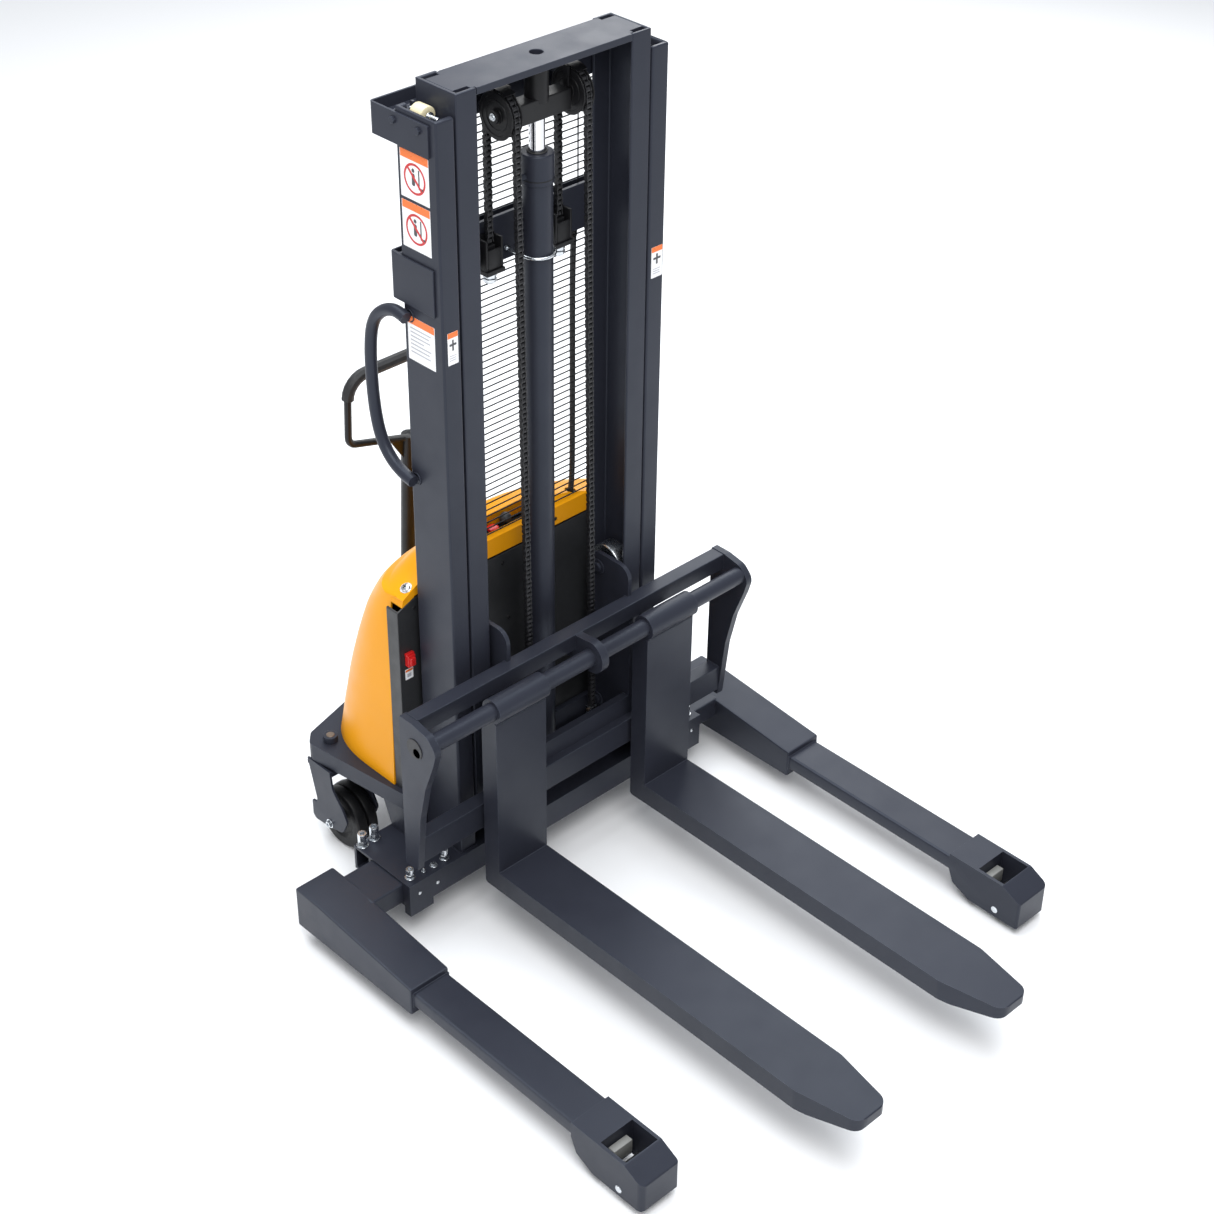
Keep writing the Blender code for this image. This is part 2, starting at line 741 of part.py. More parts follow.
def hood():
    shell = loft("hood", [hood_ring(level, 0.0) for level in HOOD_LEVELS])
    inner = []
    for z, half, front, shoulder, rear, square in HOOD_LEVELS[:5]:
        inner.append(hood_ring((z, half, front - 0.03, shoulder, rear, square), HOOD_WALL))
    inner[0] = [(x, y, z - 0.02) for x, y, z in inner[0]]
    last = HOOD_LEVELS[5]
    inner.append(hood_ring((LIP_Z - 0.008, last[1], last[2] - 0.03, last[3], last[4], last[5]), HOOD_WALL))
    core = loft("hood_core", inner)
    upper = []
    for z, half, front, shoulder, rear, square in HOOD_LEVELS[5:9]:
        upper.append(hood_ring(
            (z - HOOD_WALL - 0.004, half, 0.1413 + HOOD_WALL, max(shoulder, 0.160), rear, square), HOOD_WALL
        ))
    crown = loft("hood_crown", upper)
    recess = box(
        "tray_recess", TRAY_X, TRAY_Y, (TRAY_Z, 1.0)
    )
    hose_hole = rod("hose_hole", (0.192, 0.1655, 0.90), "z", 0.0140, 0.12, 16)
    for word, side in SIDES:
        slope = (CORNER_IN[1] - CORNER_OUT[1]) / (CORNER_OUT[0] - CORNER_IN[0])
        foot = CORNER_IN[1] - slope * (0.3640 - CORNER_IN[0]) + 0.0008
        near = CORNER_IN[0] - 0.002
        gusset = [(0.3640, foot), (0.3600, 0.8670), (near, 0.8670), (near, CORNER_IN[1] + 0.0024)]
        fuse(shell, plate("lip_gusset_" + word, [mirror_x(gusset, side)], "y", 0.1425, 0.1900))
    cut(shell, core, crown)
    floor = box(
        "tray_floor",
        (TRAY_X[0] - 0.004, TRAY_X[1] + 0.004),
        (TRAY_Y[0] - 0.004, TRAY_Y[1] + 0.004),
        (TRAY_Z - 0.006, 0.910),
    )
    fuse(shell, floor)
    cut(shell, recess, hose_hole)
    paint(smooth(shell, 35), AMBER, 0.35)


def front_panel():
    panel = box("front_panel", (-0.3795, 0.3795), PANEL_Y, (DECK_Z + GAP, LIP_Z - 0.0035))
    hollow = box(
        "panel_hollow", (-0.3745, 0.3745), (PANEL_Y[0] + 0.005, PANEL_Y[1] + 0.02), (0.30, LIP_Z - 0.0085)
    )
    cut(panel, hollow)
    for word, side in SIDES:
        corner = [
            (CORNER_OUT[0] + 0.01, CORNER_OUT[1] - 0.0045), (CORNER_OUT[0] + 0.01, 0.90),
            (CORNER_IN[0] - 0.02, 0.90), (CORNER_IN[0] - 0.0008, CORNER_IN[1] + 0.0002),
        ]
        cut(panel, plate("panel_corner_" + word, [mirror_x(corner, side)], "y", 0.10, 0.22))
    paint(smooth(panel), BLACK, 0.5)


def control_tray():
    low = TRAY_Z + GAP
    tray = box(
        "control_tray",
        (TRAY_X[0] + GAP, TRAY_X[1] - GAP),
        (TRAY_Y[0] + GAP, TRAY_Y[1] - GAP),
        (low, low + 0.012),
    )
    for name, (x, y), radius in CONTROLS:
        cut(tray, rod(name + "_hole", (x, y, low), "z", radius, 0.06, 16))
    paint(smooth(tray), (0.03, 0.03, 0.035), 0.5)


def lift_lever():
    x, y = CONTROLS[0][1]
    pivot = (x, y, TRAY_Z + 0.006)
    profile = [
        (0.0, 0.046), (0.006, 0.045), (0.0115, 0.041), (0.0150, 0.034), (0.0155, 0.028),
        (0.0130, 0.023), (0.0060, 0.020), (0.0035, 0.018), (0.0035, -0.004), (0.0, -0.004),
    ]
    paint(turned("lift_lever", profile, pivot, "z", steps=28), BLACK, 0.3)


def key_switch():
    x, y = CONTROLS[1][1]
    top = TRAY_Z + 0.012 + 2 * GAP
    ring = rod("key_switch", (x, y, top + 0.002), "z", 0.0075, 0.004, 20, origin=(x, y, top))
    bit = box(
        "key_bit", (x - 0.0012, x + 0.0012), (y - 0.0035, y + 0.0035), (top + 0.003, top + 0.013)
    )
    barrel = rod("key_barrel", (x, y, top - 0.004), "z", 0.0050, 0.010, 16)
    fuse(ring, bit, barrel)
    paint(smooth(ring), STEEL, 0.25, 1.0)


def stop_button():
    x, y = CONTROLS[2][1]
    top = TRAY_Z + 0.012
    profile = [
        (0.0, 0.022), (0.0120, 0.0210), (0.0150, 0.0175), (0.0150, 0.0120), (0.0110, 0.0095),
        (0.0100, -0.006), (0.0, -0.006),
    ]
    paint(turned("stop_button", profile, (x, y, top), "z", steps=28), RED, 0.35)


def battery():
    body = box("battery", (-0.170, 0.170), (0.215, 0.400), (DECK_Z + GAP, 0.520))
    lid = box("battery_lid", (-0.174, 0.174), (0.211, 0.404), (0.470, 0.484))
    fuse(body, lid)
    paint(body, (0.05, 0.05, 0.055), 0.5)


def power_pack():
    """Motor, pump block and oil tank bolted to one stand over the battery."""
    stand = plate(
        "power_pack",
        [[(-0.196, DECK_Z + GAP), (-0.188, DECK_Z + GAP), (-0.188, 0.532), (0.188, 0.532),
          (0.188, DECK_Z + GAP), (0.196, DECK_Z + GAP), (0.196, 0.540), (-0.196, 0.540)]],
        "y", 0.205, 0.330,
    )
    tank = box("oil_tank", (-0.160, -0.010), (0.212, 0.322), (0.538, 0.700))
    pump = box("pump_block", (0.030, 0.110), (0.225, 0.305), (0.538, 0.590))
    motor = rod("pump_motor", (0.070, 0.265, 0.660), "z", 0.050, 0.150, 24)
    link = box("pump_link", (-0.020, 0.040), (0.240, 0.290), (0.545, 0.580))
    fuse(stand, tank, pump, motor, link)
    paint(smooth(stand), BLACK, 0.45, 0.2)


def battery_connector():
    face = PANEL_Y[0] - GAP
    body = box("battery_connector", (-0.364, -0.343), (face - 0.014, face), (0.684, 0.716))
    grip = box("connector_grip", (-0.360, -0.347), (face - 0.020, face - 0.009), (0.689, 0.711))
    fuse(body, grip)
    paint(body, RED, 0.4)


# Legs and wheels

def housing_hollow(word, side):
    """The well for the load wheel: a window above that ends at the slope, and more room below."""
    well = box(
        "load_window_" + word, span(side, 0.6005, 0.6960), (-0.9640, -0.8850), (0.0, 0.30)
    )
    return well, box("load_slot_" + word, span(side, 0.6005, 0.6960), (-0.9960, -0.8850), (0.0, 0.0860))


def leg(word, side):
    fat = [
        (LEG_REAR_Y, LEG_BOTTOM_Z), (LEG_REAR_Y, LEG_TOP_Z), (0.089, LEG_TOP_Z),
        (LEG_STEP_Y, 0.1325), (LEG_STEP_Y, LEG_BOTTOM_Z + 0.004),
    ]
    obj = plate("leg_" + word, [fat], "x", *span(side, *LEG_X))
    slim = box("leg_slim_" + word, span(side, *SLIM_X), (-0.830, LEG_STEP_Y + 0.03), (0.0766, 0.1180))
    nose = filleted([
        (-0.800, 0.084, 0.0), (-0.817, 0.045, 0.01), (-0.870, 0.020, 0.01), (-1.0227, 0.020, 0.004),
        (-1.0227, 0.0990, 0.006), (-0.966, 0.1275, 0.008), (-0.800, 0.1275, 0.0),
    ], 3)
    housing = plate("leg_housing_" + word, [nose], "x", *span(side, *HOUSING_X))
    near, far = HOUSING_X
    plan = filleted([
        (near, -0.780, 0.0), (near, -1.0227, 0.008), (far, -1.0227, 0.016), (far, -0.780, 0.0),
    ], 4)
    boolean(housing, plate("housing_plan_" + word, [mirror_x(plan, side)], "z", 0.0, 0.2), "INTERSECT")
    tube_bar = box(
        "leg_tube_" + word, span(side, 0.125, 0.600), TUBE_Y, TUBE_Z
    )
    round_edges(tube_bar, 0.006)
    round_edges(slim, 0.008)
    hollow = box("tube_hollow_" + word, span(side, 0.115, 0.580), (0.024, 0.132), (0.1095, 0.1530))
    axle_hole = rod(
        "load_axle_hole_" + word, (side * 0.648, LOAD_AXLE_Y, LOAD_R), "x", 0.0100 + GAP, 0.2, 20
    )
    round_edges(obj, 0.005)
    fuse(obj, slim, housing, tube_bar)
    cut(obj, *housing_hollow(word, side), hollow, axle_hole)
    paint(obj, SLATE)


def load_wheel(word, side):
    centre = (side * sum(HOUSING_X) / 2, LOAD_AXLE_Y, LOAD_R)
    half = LOAD_W / 2
    bore = 0.0100 + GAP
    profile = [
        (bore, half), (LOAD_R - 0.004, half), (LOAD_R, half - 0.004),
        (LOAD_R, 0.004 - half), (LOAD_R - 0.004, -half), (bore, -half),
    ]
    wheel = turned("load_wheel_" + word, profile, centre, "x", steps=28)
    paint(wheel, (0.62, 0.58, 0.48), 0.5)
    axle = rod("load_axle_" + word, centre, "x", 0.0100, HOUSING_X[1] - HOUSING_X[0] - 0.002, 20)
    paint(axle, STEEL, 0.35, 0.9)


def steer_fork(word, side):
    x = side * KING_X
    pivot = (x, KING_Y, DECK_Z)
    under = DECK_Z - DECK_T - GAP
    fork = rod("steer_fork_" + word, (x, KING_Y, 0.280), "z", KING_R, 0.090, 20, origin=pivot)
    boss = rod("king_boss_" + word, (x, KING_Y, (0.240 + under) / 2), "z", 0.030, under - 0.240, 20)
    cap = rod("king_cap_" + word, (x, KING_Y, DECK_Z + GAP + 0.009), "z", 0.0190, 0.018, 20)
    crown = box(
        "fork_crown_" + word,
        span(side, FORK_ARM_IN[0], FORK_ARM_OUT[1]),
        (KING_Y - 0.050, KING_Y + 0.040),
        (0.238, 0.250),
    )
    outline = filleted([
        (0.4700, 0.2565, 0.0), (0.4410, 0.1380, 0.0), (0.4440, 0.1240, 0.0), (0.4630, 0.1220, 0.004),
        (0.4630, 0.0750, 0.006), (0.4520, 0.0650, 0.006), (0.3990, 0.0690, 0.020), (0.3400, 0.0830, 0.020),
        (0.3185, 0.1270, 0.016), (0.3360, 0.1600, 0.030), (0.3740, 0.2050, 0.040), (0.3790, 0.2565, 0.0),
    ], 3)
    arms = []
    for name, reach in (("in", FORK_ARM_IN), ("out", FORK_ARM_OUT)):
        arms.append(plate("fork_arm_" + name + word, [outline], "x", *span(side, *reach)))
    hub_x = side * (FORK_ARM_IN[0] + FORK_ARM_OUT[1]) / 2
    axle = rod("fork_axle_" + word, (hub_x, REAR_AXLE_Y, REAR_R), "x", 0.0100, 0.110, 16)
    fuse(fork, boss, cap, crown, *arms, axle)
    paint(smooth(fork), SLATE)
    half = REAR_W / 2
    bore = 0.0100 + GAP
    groove = 0.003
    profile = [
        (bore, half - 0.004), (0.056, half - 0.004), (0.060, half), (REAR_R - 0.006, half),
        (REAR_R, half - 0.006), (REAR_R, groove), (REAR_R - 0.014, groove), (REAR_R - 0.014, -groove),
        (REAR_R, -groove), (REAR_R, 0.006 - half), (REAR_R - 0.006, -half), (0.060, -half),
        (0.056, 0.004 - half), (bore, 0.004 - half),
    ]
    wheel = turned("rear_wheel_" + word, profile, (side * REAR_WHEEL_X, REAR_AXLE_Y, REAR_R), "x", steps=32)
    paint(wheel, RUBBER, 0.6)


# Tiller

def tiller():
    pivot = (0, TILLER_Y, TILT_Z)
    post = rod("tiller_post", (0, TILLER_Y, 0.340), "z", 0.0180, 0.100, 20, origin=(0, TILLER_Y, DECK_Z))
    collar = rod("post_collar", (0, TILLER_Y, DECK_Z + GAP + 0.012), "z", 0.0300, 0.024, 20)
    yoke = box("post_yoke", (-0.034, 0.034), (TILLER_Y - 0.020, TILLER_Y + 0.020), (0.375, 0.390))
    ears = []
    for word, side in SIDES:
        ear = [(TILLER_Y - 0.018, 0.380), (TILLER_Y + 0.018, 0.380)]
        ear += arc((TILLER_Y, TILT_Z), 0.018, 0, 180, 8)
        ears.append(plate("post_ear_" + word, [ear], "x", *span(side, 0.0265, 0.034)))
    pin = rod("tilt_pin", pivot, "x", 0.0070, 0.074, 16)
    fuse(post, collar, yoke, *ears, pin)
    paint(smooth(post), SLATE)

    shaft = rod("tiller", (0, 0, 0.285), "z", 0.0200, 0.570, 24, parent=MACHINE)
    shaft.location = pivot
    shaft.rotation_euler = (TILLER_LEAN, 0, 0)
    hub = rod("tiller_hub", (0, 0, 0), "x", 0.0250, 0.052, 24, parent=shaft)
    loop = tube_mesh("tiller_loop", loop_path(), 0.0095, shaft, 3, True)
    web = plate(
        "tiller_web",
        [[(-0.060, LOOP_LOW + 0.010), (-0.018, LOOP_LOW - 0.055), (0.018, LOOP_LOW - 0.055),
          (0.060, LOOP_LOW + 0.010)]],
        "y", -0.003, 0.003, parent=shaft,
    )
    fuse(shaft, hub, loop, web)
    bore = rod("tiller_bore", (0, 0, 0), "x", 0.0070 + GAP, 0.08, 16, parent=shaft)
    cut(shaft, bore)
    paint(smooth(shaft), BLACK, 0.4)
    grip_path = [co for co in loop_path() if co[2] > LOOP_LOW + 0.125]
    grip = tube_mesh("tiller_grip", grip_path, 0.0155, shaft, 3)
    cut(grip, tube_mesh("grip_bore", loop_path(), 0.0095 + GAP, shaft, 3, True))
    paint(grip, RUBBER, 0.6)


def loop_path():
    """The handle loop in its own plane: flat grip bar at the top, sides down, V back to the shaft."""
    half = filleted([
        (0.0, LOOP_LOW, 0.0), (LOOP_HALF, LOOP_LOW + 0.055, 0.030), (LOOP_HALF, LOOP_HIGH, 0.055),
        (-LOOP_HALF, LOOP_HIGH, 0.055), (-LOOP_HALF, LOOP_LOW + 0.055, 0.030),
    ], 6)
    return [(x, 0.0, z) for x, z in half]


# Inner mast

def inner_stile(word, side):
    inner = INNER_X - INNER_WALL
    outline = [
        (INNER_LIP_X, 0), (INNER_X, 0), (INNER_X, INNER_DEPTH), (INNER_LIP_X, INNER_DEPTH),
        (INNER_LIP_X, INNER_DEPTH - INNER_WALL), (inner, INNER_DEPTH - INNER_WALL),
        (inner, INNER_WALL), (INNER_LIP_X, INNER_WALL),
    ]
    stile = plate(
        "inner_mast_" + word, [mirror_x(outline, side)], "z", INNER_BOTTOM, INNER_TOP
    )
    paint(round_edges(stile, STILE_ROUND, 3), SLATE)


def inner_top_plate():
    edge = INNER_X - INNER_WALL - GAP
    lip = INNER_LIP_X - GAP
    notch = 0.228
    front = INNER_WALL + GAP
    half = [
        (lip, 0.0), (lip, front), (notch, front), (notch, 0.020), (edge, 0.020), (edge, 0.105),
        (notch, 0.105), (notch, INNER_DEPTH - front), (lip, INNER_DEPTH - front), (lip, 0.1206),
    ]
    outline = half + [(-x, y) for x, y in reversed(half)]
    hole = arc((0, CYL_Y), 0.0153, 0, 337.5, 15)
    top = plate("inner_top_plate", [outline, hole], "z", INNER_TOP - TOP_PLATE_T, INNER_TOP)
    paint(smooth(top), SLATE)


def inner_tie():
    """The plate that joins the two stiles at the back, near their lower ends."""
    y = INNER_DEPTH - INNER_WALL - GAP
    reach = INNER_X - INNER_WALL - 0.004
    tie = box(
        "inner_bottom_tie",
        (-reach, reach),
        (y - 0.006, y),
        (INNER_BOTTOM + 0.002, INNER_BOTTOM + 0.042),
    )
    paint(tie, SLATE)


def piston_rod():
    top = BEAM_Z[0] - GAP
    profile = [
        (0.0, top), (ROD_R, top), (ROD_R, PISTON_BOTTOM_Z + 0.050),
        (CYL_BORE_R - 0.0003, PISTON_BOTTOM_Z + 0.050),
        (CYL_BORE_R - 0.0003, PISTON_BOTTOM_Z), (0.0, PISTON_BOTTOM_Z),
    ]
    piston = turned("piston_rod", profile, (0, CYL_Y, 0), "z", steps=28)
    piston.modifiers["Screw"].use_normal_flip = True
    paint(piston, STEEL, 0.12, 1.0)


def crosshead():
    beam = box("crosshead", (-BEAM_X, BEAM_X), (CYL_Y - 0.022, CYL_Y + 0.022), BEAM_Z)
    round_edges(beam, 0.003)
    boss_top = INNER_TOP - TOP_PLATE_T - GAP
    boss = rod(
        "crosshead_boss", (0, CYL_Y, (BEAM_Z[1] - 0.01 + boss_top) / 2), "z", BOSS_R,
        boss_top - BEAM_Z[1] + 0.01, 28,
    )
    fuse(beam, boss)
    for word, side in SIDES:
        pin = rod(
            "sheave_pin_" + word, (side * 0.098, SHEAVE_Y, SHEAVE_Z), "x", SHEAVE_PIN_R, 0.052, 18
        )
        cap = rod(
            "sheave_cap_" + word, (side * 0.1215, SHEAVE_Y, SHEAVE_Z), "x", 0.0150, 0.006, 18
        )
        fuse(beam, pin, cap)
    paint(smooth(beam), BLACK, 0.45)


def sheave(word, side):
    half = SHEAVE_W / 2
    flange = CHAIN_W / 2 + 0.001
    bore = SHEAVE_PIN_R + GAP
    profile = [
        (bore, half), (SHEAVE_RIM_R - 0.001, half), (SHEAVE_RIM_R, half - 0.001),
        (SHEAVE_RIM_R - 0.002, flange), (SHEAVE_BED_R, flange), (SHEAVE_BED_R, -flange),
        (SHEAVE_RIM_R - 0.002, -flange), (SHEAVE_RIM_R, 0.001 - half), (SHEAVE_RIM_R - 0.001, -half),
        (bore, -half),
    ]
    paint(
        turned("sheave_" + word, profile, (side * SHEAVE_X, SHEAVE_Y, SHEAVE_Z), "x", steps=28),
        BLACK, 0.4, 0.5,
    )


def lift_chain(word, side):
    """Over the sheave and down the front to the carriage, then the short run down to the anchor."""
    inner = SHEAVE_BED_R + GAP
    outer = SHEAVE_BED_R + CHAIN_T
    centre = (SHEAVE_Y, SHEAVE_Z)
    low = CLEVIS_Z[1] + GAP
    front = [(CLEVIS_Y - CHAIN_T / 2, low), (CLEVIS_Y + CHAIN_T / 2, low)]
    wrap = arc(centre, outer, 0, 180, 14)
    bed = arc(centre, inner, 180, 0, 14)
    outline = wrap + front + bed
    x = span(side, SHEAVE_X - CHAIN_W / 2, SHEAVE_X + CHAIN_W / 2)
    paint(plate("chain_lift_" + word, [outline], "x", *x), BLACK, 0.4, 0.5)
    rear = [
        (SHEAVE_Y + inner, SHEAVE_Z - GAP), (SHEAVE_Y + inner, ANCHOR_Z),
        (SHEAVE_Y + outer, ANCHOR_Z), (SHEAVE_Y + outer, SHEAVE_Z - GAP),
    ]
    paint(plate("chain_anchor_run_" + word, [rear], "x", *x), BLACK, 0.4, 0.5)


# Carriage

def carriage_frame():
    frame = box("carriage_frame", (-BAR_X - 0.004, BAR_X + 0.004), BAR_Y, TOP_BAR_Z)
    low = box("carriage_low_bar", (-BAR_X - 0.004, BAR_X + 0.004), BAR_Y, LOW_BAR_Z)
    step = box("carriage_low_step", (-0.216, 0.216), (-0.050, BAR_Y[1]), (0.355, 0.414))
    round_edges(frame, 0.003)
    round_edges(low, 0.003)
    fuse(frame, low, step)
    for word, side in SIDES:
        end = plate("carriage_end_" + word, [filleted(list(END_OUTLINE), 4)], "x", *span(side, *END_X))
        side_plate = filleted([
            (-0.050, 0.276, 0.005), (0.100, 0.276, 0.020), (0.100, PLATE_TOP_Z, 0.040),
            (-0.042, PLATE_TOP_Z, 0.034), (-0.042, 0.712, 0.0), (-0.050, 0.700, 0.0),
        ], 5)
        web = plate("carriage_side_" + word, [side_plate], "x", *span(side, *PLATE_X))
        fuse(frame, end, web)
        for level, z in zip(("low", "high"), ROLLER_Z):
            stub = rod(
                "roller_stub_" + level + word,
                (side * (PLATE_X[1] + ROLLER_X[1]) / 2, ROLLER_Y, z), "x",
                0.0160, ROLLER_X[1] - PLATE_X[1] + 0.006, 16,
            )
            fuse(frame, stub)
        shelf = box(
            "clevis_shelf_" + word,
            span(side, SHEAVE_X - 0.022, SHEAVE_X + 0.022),
            (-0.046, 0.012),
            (0.344, 0.356),
        )
        hole = rod(
            "clevis_hole_" + word, (side * SHEAVE_X, CLEVIS_Y, 0.350), "z", 0.0070 + GAP, 0.04, 14
        )
        fuse(frame, shelf)
        cut(frame, hole)
    eye = [(-0.0330, 0.640), (-0.0330, 0.7125), (-0.0800, 0.7125)]
    eye += arc((SHAFT_Y, SHAFT_Z), EYE_R, 70, 290, 14) + [(-0.0800, 0.640)]
    centre = plate("carriage_eye", [eye], "x", -0.0110, 0.0110)
    fuse(frame, centre)
    bore = rod("shaft_bore", (0, SHAFT_Y, SHAFT_Z), "x", SHAFT_R + GAP, 1.006, 28)
    cut(frame, bore)
    paint(smooth(frame), SLATE)
    shaft = rod("fork_shaft", (0, SHAFT_Y, SHAFT_Z), "x", SHAFT_R, 1.0050, 28)
    paint(shaft, SLATE, 0.4, 0.2)


def chain_clevis(word, side):
    x = side * SHEAVE_X
    block = box(
        "chain_clevis_" + word, (x - 0.012, x + 0.012), (CLEVIS_Y - 0.010, CLEVIS_Y + 0.010),
        CLEVIS_Z,
    )
    stem = rod("clevis_stem_" + word, (x, CLEVIS_Y, 0.352), "z", 0.0070, 0.066, 14)
    nut_low = rod("clevis_nut_low_" + word, (x, CLEVIS_Y, 0.336), "z", 0.0130, 0.013, 6)
    nut_high = rod("clevis_nut_high_" + word, (x, CLEVIS_Y, 0.3637), "z", 0.0130, 0.013, 6)
    fuse(block, stem, nut_low, nut_high)
    paint(smooth(block), STEEL, 0.35, 0.9)


def carriage_roller(word, side, level, z):
    centre = (side * sum(ROLLER_X) / 2, ROLLER_Y, z)
    half = (ROLLER_X[1] - ROLLER_X[0]) / 2
    bore = 0.0160 + GAP
    profile = [
        (bore, half), (ROLLER_R - 0.003, half), (ROLLER_R, half - 0.003),
        (ROLLER_R, 0.003 - half), (ROLLER_R - 0.003, -half), (bore, -half),
    ]
    paint(turned("carriage_roller_" + level + "_" + word, profile, centre, "x", steps=24), STEEL, 0.4, 0.8)


def fork(word, side):
    heel = FORK_FACE_Y
    back = FORK_FACE_Y + FORK_T - 0.004
    bottom = FORK_TOP_Z - FORK_T - 0.0007
    outline = filleted([
        (heel, FORK_TOP_Z, 0.0), (heel, 0.640, 0.0), (SHAFT_Y, 0.650, 0.0), (back, 0.640, 0.0),
        (back, bottom, 0.009), (-1.135, bottom, 0.10), (FORK_TIP_Y, 0.1565, 0.008),
        (FORK_TIP_Y, FORK_TOP_Z, 0.004),
    ], 5)
    obj = plate("fork_" + word, [outline], "x", *span(side, *FORK_X))
    sleeve = rod(
        "fork_sleeve_" + word, (side * sum(FORK_X) / 2, SHAFT_Y, SHAFT_Z), "x", FORK_SLEEVE_R,
        FORK_X[1] - FORK_X[0], 28,
    )
    middle = side * sum(FORK_X) / 2
    half = (FORK_X[1] - FORK_X[0]) / 2
    nose = half - TIP_NARROWING
    plan = filleted([
        (middle - half, 0.0, 0.0), (middle - half, TIP_TAPER_Y, 0.060), (middle - nose, FORK_TIP_Y, 0.032),
        (middle + nose, FORK_TIP_Y, 0.032), (middle + half, TIP_TAPER_Y, 0.060), (middle + half, 0.0, 0.0),
    ], 6)
    boolean(obj, plate("fork_plan_" + word, [plan], "z", 0.05, 0.80), "INTERSECT")
    bore = rod("fork_bore_" + word, (middle, SHAFT_Y, SHAFT_Z), "x", SHAFT_R + GAP, 0.3, 28)
    fuse(obj, sleeve)
    cut(obj, bore)
    paint(smooth(obj), SLATE)


def build():
    for word, side in SIDES:
        outer_rail(word, side)
    crossmembers()
    base_beam()
    chassis_frame()
    wire_guard()
    lift_cylinder()
    grab_handle()
    lift_hose()
    hood()
    front_panel()
    control_tray()
    lift_lever()
    key_switch()
    stop_button()
    battery()
    power_pack()
    battery_connector()
    tiller()
    inner_top_plate()
    inner_tie()
    piston_rod()
    crosshead()
    carriage_frame()
    for word, side in SIDES:
        thrust_roller(word, side)
        chain_anchor(word, side)
        leg(word, side)
        load_wheel(word, side)
        steer_fork(word, side)
        inner_stile(word, side)
        sheave(word, side)
        lift_chain(word, side)
        chain_clevis(word, side)
        fork(word, side)
        for level, z in zip(("lower", "upper"), ROLLER_Z):
            carriage_roller(word, side, level, z)


build()
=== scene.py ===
"""Looks of the walkie stacker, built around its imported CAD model.

Places are given in the mast's own axes: x = 0 is the middle plane, y = 0 the front of the outer mast,
z = 0 the floor. at() turns such a place into the frame's coordinates.
"""

import json
from math import cos, pi, radians, sin

import bmesh
import bpy
from mathutils import Matrix, Vector, noise

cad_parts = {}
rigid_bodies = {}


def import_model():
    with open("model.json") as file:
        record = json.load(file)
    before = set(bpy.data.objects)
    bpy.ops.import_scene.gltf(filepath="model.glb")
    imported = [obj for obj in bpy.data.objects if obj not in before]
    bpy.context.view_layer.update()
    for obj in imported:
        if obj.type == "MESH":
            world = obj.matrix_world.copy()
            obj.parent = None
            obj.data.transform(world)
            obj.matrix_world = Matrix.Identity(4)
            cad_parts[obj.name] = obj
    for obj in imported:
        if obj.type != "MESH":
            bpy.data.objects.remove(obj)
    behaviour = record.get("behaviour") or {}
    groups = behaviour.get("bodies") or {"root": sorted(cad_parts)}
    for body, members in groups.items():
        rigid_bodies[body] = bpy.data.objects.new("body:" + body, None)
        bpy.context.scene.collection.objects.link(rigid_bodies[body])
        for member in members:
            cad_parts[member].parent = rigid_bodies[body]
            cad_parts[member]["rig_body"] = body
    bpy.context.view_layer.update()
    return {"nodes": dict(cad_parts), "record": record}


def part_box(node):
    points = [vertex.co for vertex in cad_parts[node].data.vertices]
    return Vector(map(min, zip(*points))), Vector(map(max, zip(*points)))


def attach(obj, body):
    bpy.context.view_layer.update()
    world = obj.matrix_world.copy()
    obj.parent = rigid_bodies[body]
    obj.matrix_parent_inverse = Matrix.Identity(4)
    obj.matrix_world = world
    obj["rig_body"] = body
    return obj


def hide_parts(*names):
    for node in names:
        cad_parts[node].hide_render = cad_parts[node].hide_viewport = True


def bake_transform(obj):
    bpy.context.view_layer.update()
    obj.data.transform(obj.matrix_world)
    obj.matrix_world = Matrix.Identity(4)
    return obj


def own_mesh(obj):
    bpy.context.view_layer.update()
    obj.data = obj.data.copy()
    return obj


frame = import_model()

SIDES = (("left", -1), ("right", 1))
MAST_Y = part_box("outer_mast_left")[0].y
UP = Vector((0, 0, 1))
RIGHT = Vector((1, 0, 0))
BACK = Vector((0, 1, 0))
SLOT_OF = {s["node"]: s["material_slot"] for s in frame["record"]["subparts"]}


def at(x, y, z):
    return Vector((x, y + MAST_Y, z))


def low(node):
    """A node's lowest corner in the mast's axes."""
    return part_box(node)[0] - at(0, 0, 0)


def high(node):
    """A node's highest corner in the mast's axes."""
    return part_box(node)[1] - at(0, 0, 0)


def middle(node):
    return (low(node) + high(node)) / 2


# Camera, light and floor

CAMERA_PLACE = (-3.03983, -3.30490, 3.88631)
CAMERA_AZIMUTH = radians(-44.0909)
CAMERA_ELEVATION = radians(34.9030)
CAMERA_ROLL = radians(0.6674)
CAMERA_LENS = 67.53
SENSOR_WIDTH = 36.0
WORLD_COLOUR = (0.93, 0.96, 1.0, 1)
WORLD_STRENGTH = 0.52
FLOOR_COLOUR = (0.93, 0.93, 0.935, 1)
FLOOR_SIZE = 30
FLOOR_DROP = 0.0005
WHITE = (1, 1, 1)
COOL_WHITE = (0.92, 0.96, 1.0)
